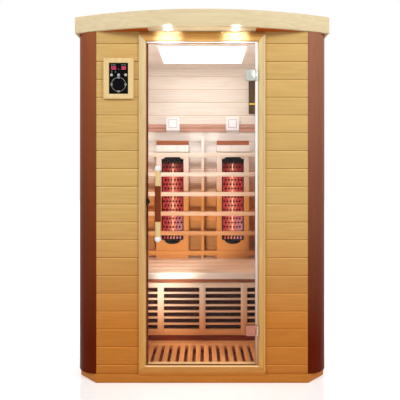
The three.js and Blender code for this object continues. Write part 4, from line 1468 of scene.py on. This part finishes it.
class CABIN_OT_floor(CabinStep, bpy.types.Operator):
    """Slatted floor grid on three bearers, over a dark sheet of painted shade"""

    bl_idname = "cabin.floor"
    bl_label = "Floor grid"

    def execute(self, context):
        self.prepare(context)
        low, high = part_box("floor_grid")
        pitch, slot, thick, bearer = 44.8 * MM, 18 * MM, 20 * MM, 14 * MM
        slot_front = low.y + 12.7 * MM
        slot_back = high.y - 83.7 * MM
        corner = 25.3 * MM
        count = 2 * int((high.x - slot) / pitch)
        edge = self.sizes.edge
        first = -(count - 1) / 2 * pitch
        strips = self.finish.bench("strips", "Y", ("X", first - pitch / 2, pitch))
        rail = self.finish.bench("rail", "X")
        top = high.z
        under = top - thick
        lap = 1 * MM
        slats = bars(
            (pitch - slot, slot_back - slot_front + 2 * lap, thick),
            (first, (slot_front + slot_back) / 2, top - thick / 2),
            count, (pitch, 0, 0), strips, edge,
        )
        half = high.x - corner
        last = (count / 2) * pitch + slot / 2
        parts = [slats]
        # The front rail of the grid is paler as a painted highlight.
        pale = paler(self.finish.tint("bench_low"), 0.35)
        highlit_nosing = timber("grid_nosing", pale, pale, "X", None, 0.5, 0.4)
        parts.append(block((-half, low.y, under), (half, slot_front, top), edge, highlit_nosing))
        parts.append(block((-high.x, slot_back, under), (high.x, high.y, top), edge, rail))
        for sign in (-1, 1):
            ends = sorted((sign * last, sign * high.x))
            parts.append(block((ends[0], low.y + corner, under), (ends[1], slot_back, top), edge, strips))
        # The bearers are stained dark as painted shade under the grid.
        dark = self.finish.stain("under", "X")
        for y in (low.y, slot_back - 18 * MM, high.y - bearer):
            parts.append(block((-half, y, low.z), (half, y + bearer, under), edge, dark))
        piece("grid", joined(*parts), ["floor_grid"])
        self.lining(low, high)
        return {"FINISHED"}

    def lining(self, low, high):
        """Thin dark sheet of painted shade on the base, under the grid."""
        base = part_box("base_panel")[1].z
        gap = low.z - base
        sheet = block(
            (low.x, low.y, base + gap * 0.1), (high.x, high.y, low.z - gap * 0.1), 0, self.finish.stain("under", "X")
        )
        piece("floor_lining", sheet)


class CABIN_OT_bench(CabinStep, bpy.types.Operator):
    """Boarded seat, slatted front and the dark heating panel behind it"""

    bl_idname = "cabin.bench"
    bl_label = "Bench"

    def execute(self, context):
        self.prepare(context)
        self.seat()
        self.front()
        carbon = moulded("carbon_panel", shade(58, 30, 24), 0.6, 0.0, 300.0)
        panel = softened("bench_heater", self.sizes.edge, carbon)
        piece("bench_panel", panel, ["bench_heater"])
        return {"FINISHED"}

    def seat(self):
        """Boards from wall to wall."""
        low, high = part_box("bench_seat")
        count = 5
        pitch = (high.y - low.y) / count
        size = (high.x - low.x, pitch - 1.5 * MM, high.z - low.z)
        start = (0, low.y + pitch / 2, (low.z + high.z) / 2)
        wood = self.finish.bench("seat", "X", ("Y", low.y, pitch))
        boards = bars(size, start, count, (0, pitch, 0), wood, self.sizes.soft_edge)
        # The front face of the first board is paler as a painted highlight.
        pale = paler(self.finish.tint("bench_high"), 0.25)
        boards.materials.append(timber("bench_nosing", pale, pale, "X", None, 0.5, 0.3))
        paint_faces(boards, 1, lambda middle, normal: normal.y < -0.3 and middle.y < low.y + pitch / 2)
        piece("seat_boards", boards, ["bench_seat"])

    def front(self):
        """Stiles, rails and slats on a toe board, below a rail that is set back."""
        low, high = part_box("bench_front")
        edge = self.sizes.edge
        half = high.x
        bottom, open_bottom = 119 * MM, 154 * MM
        gap, slat, rows = 27 * MM, 10 * MM, 6
        open_top = open_bottom + (rows + 1) * gap + rows * slat
        top = open_top + 29 * MM
        thick = 18 * MM
        stile, bay = 37 * MM, 249 * MM
        face, back = low.y, low.y + thick
        set_back = 0.8 * MM
        lap = 2 * MM
        along, upright = self.finish.bench("rail", "X"), self.finish.bench("stile", "Z")
        pitch = gap + slat
        slat_wood = self.finish.bench("slat", "X", ("Z", open_bottom + gap / 2, pitch))
        parts = []
        for x in (-half + stile / 2, -2 * bay, -bay, 0, bay, 2 * bay, half - stile / 2):
            parts.append(block((x - stile / 2, face, bottom), (x + stile / 2, back, top), edge, upright))
        for z0, z1 in ((bottom, open_bottom), (open_top, top)):
            parts.append(block((-half, face + set_back, z0), (half, back - set_back, z1), edge, along))
        z = open_bottom + gap + slat / 2
        y = (face + back) / 2
        depth = thick - 2 * set_back
        size = (bay - stile + lap, depth, slat)
        parts.append(bars(size, (-1.5 * bay, y, z), rows, (0, 0, pitch), slat_wood, edge, 4, (bay, 0, 0)))
        outer = half - stile - (2 * bay + stile / 2)
        reach = 2 * bay + stile / 2 + outer / 2
        size = (outer + lap, depth, slat)
        parts.append(bars(size, (-reach, y, z), rows, (0, 0, pitch), slat_wood, edge, 2, (2 * reach, 0, 0)))
        rail_y = face + 12 * MM
        toe_lap = 8.7 * MM
        toe, rail = self.finish.stain("toe", "X"), self.finish.stain("tan", "X")
        # The toe board is stained dark, partly as painted shade under the bench.
        parts.append(block((-half, rail_y, low.z), (half, high.y, bottom + toe_lap), edge, toe))
        # The set-back rail under the seat is brown as painted shade under the nosing.
        parts.append(block((-half, rail_y, top - toe_lap), (half, high.y, high.z), edge, rail))
        piece("bench_grille", joined(*parts), ["bench_front"])


# Backrest, heaters and fittings on the back wall


class CABIN_OT_backrest(CabinStep, bpy.types.Operator):
    """Six slats from wall to wall and the upright batten"""

    bl_idname = "cabin.backrest"
    bl_label = "Backrest"

    def execute(self, context):
        self.prepare(context)
        nodes = [f"backrest_slat_{i}" for i in range(1, 7)]
        low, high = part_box(nodes[0])
        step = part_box(nodes[1])[0].z - low.z
        tints = self.finish.tint("slat"), self.finish.tint("room_low")
        lanes = ("Z", low.z - step / 2, step)
        wood = timber("back_slats", *tints, "X", lanes, 0.55, 0.45, (0.62, 1.12), shine=0.0)
        start = (0, (low.y + high.y) / 2, (low.z + high.z) / 2)
        slats = bars(high - low, start, len(nodes), (0, 0, step), wood, self.sizes.soft_edge)
        piece("back_slats", slats, nodes)
        batten = block(*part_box("backrest_batten"), self.sizes.edge, self.finish.room("batten", "Z"))
        piece("back_batten", batten, ["backrest_batten"])
        return {"FINISHED"}


class CABIN_OT_heaters(CabinStep, bpy.types.Operator):
    """Two heaters: box, tray, tube, guard and headrest"""

    bl_idname = "cabin.heaters"
    bl_label = "Heaters"

    def execute(self, context):
        self.prepare(context)
        for side in SIDES:
            box = softened(f"heater_box_{side}", self.sizes.edge, self.finish.room("heater", "Z"))
            piece(f"heater_case_{side}", box, [f"heater_box_{side}"])
            self.tray(side)
            self.tube(side)
            self.guard(side)
            self.guard_ends(side)
            node = f"headrest_{side}"
            # The headrest's brown stain is painted shadow, standing for the shadow above the heater's cap.
            rest = block(*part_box(node), self.sizes.soft_edge, self.finish.stain("tan", "X"))
            piece(f"rest_{side}", rest, [node])
        return {"FINISHED"}

    def tray(self, side):
        """A trough that mirrors the tube, closed at its ends."""
        node = f"heater_tray_{side}"
        low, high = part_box(node)
        x = (low.x + high.x) / 2
        half = (high.x - low.x) / 2
        deep = high.y - low.y
        wall = 2 * MM
        inner = [(math.sin(a) * (half - wall), deep * math.cos(a) - 1 * MM) for a in arc(-90, 90, 24)]
        outline = [(-half, 0), (-half, deep), (half, deep), (half, 0)]
        ring = [Vector((x + px, low.y + max(py, 0), 0)) for px, py in outline + inner[::-1]]
        rings = [[point + Vector((0, 0, z)) for point in ring] for z in (low.z + wall, high.z - wall)]
        hot, dim = self.finish.tint("hot"), self.finish.tint("dim")
        glow = glowing_tray(f"tray_{side}", hot, dim, self.finish.light.tray, low, high)
        parts = [skin(rings, glow)]
        for z0, z1 in ((low.z, low.z + wall), (high.z - wall, high.z)):
            parts.append(block((low.x, low.y, z0), (high.x, high.y, z1), 0, glow))
        piece(f"reflector_{side}", joined(*parts), [node])

    def tube(self, side):
        """Glowing wire in a clear tube, with a ceramic end at the top and the bottom."""
        node = f"heater_tube_{side}"
        low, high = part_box(node)
        centre = middle_of(node)
        radius = (high.x - low.x) / 2
        half = (high.z - low.z) / 2
        foot = 30 * MM
        hot = lit("hot_wire", shade(255, 168, 146), self.finish.light.tube, 30.0)
        ceramic = moulded("ceramic", shade(226, 214, 206), 0.5)
        span = half - foot
        parts = []
        for wide, material in ((radius * 0.45, hot), (radius * 0.85, clear_pane("quartz", (1.0, 0.93, 0.92)))):
            rod = [(0, -span), (wide, -span), (wide, span), (0, span)]
            parts.append(turned(rod, centre, (0, 0, 1), 24, material))
        for sign in (-1, 1):
            shape = [(0, span), (radius - 1 * MM, span), (radius, span + 1 * MM), (radius, half), (0, half)]
            parts.append(turned(shape, centre, (0, 0, sign), 24, ceramic))
        piece(f"glow_tube_{side}", joined(*parts), [node])

    def guard(self, side):
        """Curved guard of knotted wire between two side strips."""
        node = f"heater_guard_{side}"
        low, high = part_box(node)
        sizes = self.sizes
        x = (low.x + high.x) / 2
        half = (high.x - low.x) / 2
        thick = 4 * MM
        bulge = high.y - low.y - thick
        border = sizes.guard_border
        columns = int((2 * half - border) / sizes.guard_column)
        rows = int((high.z - low.z) / (2 * sizes.guard_row))
        first_x = x - (columns - 0.5) * sizes.guard_column / 2
        spare = (high.z - low.z) - (2 * rows - 1) * sizes.guard_row
        mesh = grown(
            guard_mesh(),
            column=sizes.guard_column,
            row=sizes.guard_row,
            knot=sizes.guard_knot,
            wire=sizes.guard_wire,
            columns=columns,
            rows=rows,
            bulge=bulge,
            half=half,
            start=(first_x, low.y + thick / 2, low.z + spare / 2),
            middle=x,
            material=moulded("guard_wire", shade(14, 3, 5), 0.7, 0.0),
        )
        parts = [mesh]
        for sign in (-1, 1):
            edges = sorted((x + sign * half, x + sign * (half - border)))
            strip_low = (edges[0], low.y + bulge * 0.8, low.z)
            parts.append(block(strip_low, (edges[1], high.y, high.z), sizes.groove_edge, self.finish.black()))
        piece(f"guard_{side}", joined(*parts), [node])

    def guard_ends(self, side):
        """Flat end plates on the front of the box, each with a tab to lift it by, and teeth at the foot."""
        low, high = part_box(f"heater_guard_{side}")
        x = (low.x + high.x) / 2
        half = (high.x - low.x) / 2
        reach = self.sizes.tab_width / 2
        foot_low, foot_high, drop = low.z - 3 * MM, low.z + 4 * MM, 29 * MM
        foot = [(-half, foot_high), (half, foot_high), (half, foot_low)]
        foot += [(reach * math.cos(a), foot_low + drop * math.sin(a)) for a in arc(0, -180, 20)]
        foot.append((-half, foot_low))
        top_low, rise = high.z - 27 * MM, 12 * MM
        top = [(-half, top_low), (half, top_low), (half, high.z), (reach * 1.1, high.z)]
        top += [(reach * 0.9, high.z + rise), (-reach * 0.9, high.z + rise), (-reach * 1.1, high.z)]
        top.append((-half, high.z))
        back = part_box(f"headrest_{side}")[0].y - 0.2 * MM
        thick = 1.8 * MM
        black = self.finish.black()
        parts = []
        for outline in (foot, top):
            rings = [[Vector((x + px, y, z)) for px, z in outline] for y in (back - thick, back)]
            parts.append(skin(rings, black))
        pitch, tall = self.sizes.guard_column, 28 * MM
        count = int(2 * half / pitch)
        size = (self.sizes.tooth_width, thick, tall)
        start = (x - (count - 1) / 2 * pitch, back - thick / 2, foot_high + tall / 2)
        parts.append(bars(size, start, count, (pitch, 0, 0), black, 0))
        piece(f"guard_ends_{side}", joined(*parts))


class CABIN_OT_fittings(CabinStep, bpy.types.Operator):
    """Dark wall board with a brass bar, the rail behind the lamps, and the power unit"""

    bl_idname = "cabin.fittings"
    bl_label = "Fittings"

    def execute(self, context):
        self.prepare(context)
        self.wall_board()
        self.rail()
        self.power_unit()
        return {"FINISHED"}

    def wall_board(self):
        low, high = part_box("wall_board")
        proud = 8 * MM
        rise, tall, inset = 65 * MM, 10 * MM, 4 * MM
        board = block((low.x, low.y + proud, low.z), high, self.sizes.edge, self.finish.stain("olive", "Z", 1.2))
        # The brass bar glows as a painted highlight.
        brass = lit("brass", shade(250, 214, 60), 0.25, 200.0)
        bar = block(
            (low.x + inset, low.y, low.z + rise),
            (high.x - inset, low.y + proud + 2 * MM, low.z + rise + tall),
            self.sizes.edge,
            brass,
        )
        piece("dark_board", joined(board, bar), ["wall_board"])

    def rail(self):
        """Two thin strips on the back wall with a groove between them, stopped at each lamp."""
        left_low, left_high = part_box("wall_lamp_left")
        right_low, right_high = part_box("wall_lamp_right")
        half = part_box("bench_seat")[1].x
        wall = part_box("back_wall")[0].y
        thick, tall, gap, seam = 6 * MM, 27 * MM, 0.5 * MM, 4 * MM
        bottom = left_low.z - 11.5 * MM
        rose, shadow = self.finish.stain("rose", "X"), self.finish.stain("tan", "X")
        parts = []
        for x0, x1 in (
            (-half, left_low.x - gap), (left_high.x + gap, right_low.x - gap), (right_high.x + gap, half)
        ):
            for z in (bottom, bottom + tall + seam):
                parts.append(block((x0, wall - thick, z), (x1, wall - gap, z + tall), self.sizes.edge, rose))
            groove = bottom + tall
            parts.append(block((x0, wall - thick / 2, groove), (x1, wall - gap, groove + seam), 0, shadow))
        piece("lamp_rail", joined(*parts))

    def power_unit(self):
        """Grey box with a row of fins."""
        grey = moulded("unit_paint", shade(92, 96, 100), 0.45)
        box = softened("power_unit", self.sizes.edge, grey)
        low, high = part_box("power_unit")
        fins = bars(
            (60 * MM, 2 * MM, 4 * MM),
            (middle_of("power_unit").x, low.y - 0.5 * MM, low.z + 40 * MM),
            6, (0, 0, 12 * MM), self.finish.black(), 0.4 * MM,
        )
        piece("power_box", joined(box, fins), ["power_unit"])


def seen_directly(maker):
    """1 for what the camera sees, straight or in glass and metal, and 0 for light that falls on the object."""
    path = maker.add("ShaderNodeLightPath").socket.node.outputs
    seen = Socket(maker, path["Is Camera Ray"])
    for kind in ("Is Glossy Ray", "Is Transmission Ray"):
        seen = maker.maths("MAXIMUM", seen, Socket(maker, path[kind]))
    return seen


# Stage


class CABIN_OT_stage(CabinStep, bpy.types.Operator):
    """White floor and surroundings, soft studio light and the camera"""

    bl_idname = "cabin.stage"
    bl_label = "Stage"

    def execute(self, context):
        scene = context.scene
        scene.view_settings.view_transform = "Standard"
        light = scene.cabin_light
        self.surroundings(scene, light.around)
        self.floor(scene)
        self.area(scene, "left_light", (-3.0, -3.4, 3.4), (0, -0.4, 1.2), 0.9, light.left)
        self.area(scene, "right_light", (3.0, -3.4, 3.4), (0, -0.4, 1.2), 0.9, light.right)
        for side, x in zip(SIDES, (-0.3, 0.3)):
            self.area(scene, f"room_{side}", (x, -0.36, 1.42), (x, 0.1, 1.9), 0.16, light.room)
        self.spot(scene, "low_light", (-0.15, -0.4, 0.62), (-0.15, 0.5, 0.8), light.low, 74, 0.5, 0.08)
        self.spot(scene, "bench_light", (-0.36, -0.3, 0.4), (0, -0.09, 0.3), light.bench, 120, 1.0, 0.03)
        self.spot(scene, "canopy_light", (0, -0.53, 1.62), (0, -0.52, 1.8), light.canopy, 110, 1.0, 0.05)
        for side in SIDES:
            x = middle_of(f"downlight_{side}").x
            near, aim = (x, -0.6, 1.8), (x, -0.48, 1.778)
            pool = self.spot(scene, f"pool_{side}", near, aim, light.pools, 74, 1.0, 0.01)
            pool.color = (0.45, 0.62, 1.0)
        self.camera(scene)
        return {"FINISHED"}

    def surroundings(self, scene, around):
        """A white world for what is seen and mirrored, dimmer as a light."""
        world = bpy.data.worlds.new("white_studio")
        world.use_nodes = True
        world.node_tree.nodes.clear()
        maker = NodeMaker(world.node_tree)
        sockets = {"Color": (1, 1, 1), "Strength": around + (1 - around) * seen_directly(maker)}
        back = maker.add("ShaderNodeBackground", sockets=sockets)
        maker.add("ShaderNodeOutputWorld", sockets={"Surface": back})
        scene.world = world

    def floor(self, scene):
        """A wide white floor that keeps the shadow and mirrors a little."""
        bm = bmesh.new()
        bmesh.ops.create_grid(bm, x_segments=1, y_segments=1, size=20)
        paint = Paint("white_floor")
        place = paint.place()
        x, y, z = paint.split(place)
        beside = paint.ramp(paint.maths("ABSOLUTE", x), 0.6, 0.85)
        ahead = paint.ramp(0 - y, 1.5, 3.0)
        glow = 0.42 + 0.5 * paint.maths("MAXIMUM", beside, ahead)
        base = paint.mix(paint.noise(place, 2.0), (0.86, 0.86, 0.86), (0.88, 0.88, 0.88))
        matt = paint.surface(base_color=base, roughness=0.8, specular_ior_level=0.0)
        sockets = {"Color": (1, 1, 1), "Strength": seen_directly(paint) * glow}
        light = paint.add("ShaderNodeEmission", sockets=sockets)
        white = paint.add("ShaderNodeAddShader", sockets={"Shader": matt, "Shader_001": light})
        mirror = paint.surface(base_color=(1, 1, 1), metallic=1.0, roughness=0.12)
        both = paint.add("ShaderNodeMixShader", sockets={"Fac": 0.14, "Shader": white, "Shader_001": mirror})
        mesh = to_mesh(bm, paint.show(both))
        obj = bpy.data.objects.new("studio_floor", mesh)
        scene.collection.objects.link(obj)

    def lamp(self, scene, name, kind, place, aim, power):
        """A lamp that points at a place and isn't seen itself."""
        data = bpy.data.lights.new(name, kind)
        data.energy = power
        obj = bpy.data.objects.new(name, data)
        obj.location = place
        obj.rotation_euler = (Vector(aim) - Vector(place)).to_track_quat("-Z", "Y").to_euler()
        obj.visible_camera = False
        obj.visible_glossy = kind == "AREA"
        scene.collection.objects.link(obj)
        return data

    def area(self, scene, name, place, aim, size, power):
        self.lamp(scene, name, "AREA", place, aim, power).size = size

    def spot(self, scene, name, place, aim, power, cone, blend, radius):
        data = self.lamp(scene, name, "SPOT", place, aim, power)
        data.spot_size = math.radians(cone)
        data.spot_blend = blend
        data.shadow_soft_size = radius
        return data

    def camera(self, scene):
        """The photograph's view: level, from ahead of the door, with the frame shifted."""
        data = bpy.data.cameras.new("front_camera")
        data.sensor_width = 36
        data.lens = 42.2
        data.shift_x = -0.011
        data.shift_y = -0.0525
        obj = bpy.data.objects.new("front_camera", data)
        obj.location = (0.012, -2.892, 1.052)
        obj.rotation_euler = (math.pi / 2, 0, 0)
        scene.collection.objects.link(obj)
        scene.camera = obj


STEPS = (
    CABIN_OT_walls,
    CABIN_OT_roof,
    CABIN_OT_lamps,
    CABIN_OT_door_frame,
    CABIN_OT_door,
    CABIN_OT_hinges,
    CABIN_OT_control,
    CABIN_OT_floor,
    CABIN_OT_bench,
    CABIN_OT_backrest,
    CABIN_OT_heaters,
    CABIN_OT_fittings,
    CABIN_OT_stage,
)


class CABIN_PT_panel(bpy.types.Panel):
    """Sizes, colours, light and steps of the cabin"""

    bl_label = "Sauna cabin"
    bl_idname = "CABIN_PT_panel"
    bl_space_type = "VIEW_3D"
    bl_region_type = "UI"
    bl_category = "Cabin"

    def draw(self, context):
        for group in ("cabin_sizes", "cabin_colours", "cabin_light"):
            values = getattr(context.scene, group)
            for name in values.__annotations__:
                self.layout.prop(values, name)
        for step in STEPS:
            self.layout.operator(step.bl_idname)


CLASSES = (CabinSizes, CabinColours, CabinLight, *STEPS, CABIN_PT_panel)


def register():
    for cls in CLASSES:
        bpy.utils.register_class(cls)
    bpy.types.Scene.cabin_sizes = PointerProperty(type=CabinSizes)
    bpy.types.Scene.cabin_colours = PointerProperty(type=CabinColours)
    bpy.types.Scene.cabin_light = PointerProperty(type=CabinLight)


def unregister():
    del bpy.types.Scene.cabin_light
    del bpy.types.Scene.cabin_colours
    del bpy.types.Scene.cabin_sizes
    for cls in reversed(CLASSES):
        bpy.utils.unregister_class(cls)


def main():
    register()
    for step in STEPS:
        group, name = step.bl_idname.split(".")
        getattr(getattr(bpy.ops, group), name)()
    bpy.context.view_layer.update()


if __name__ == "__main__":
    main()
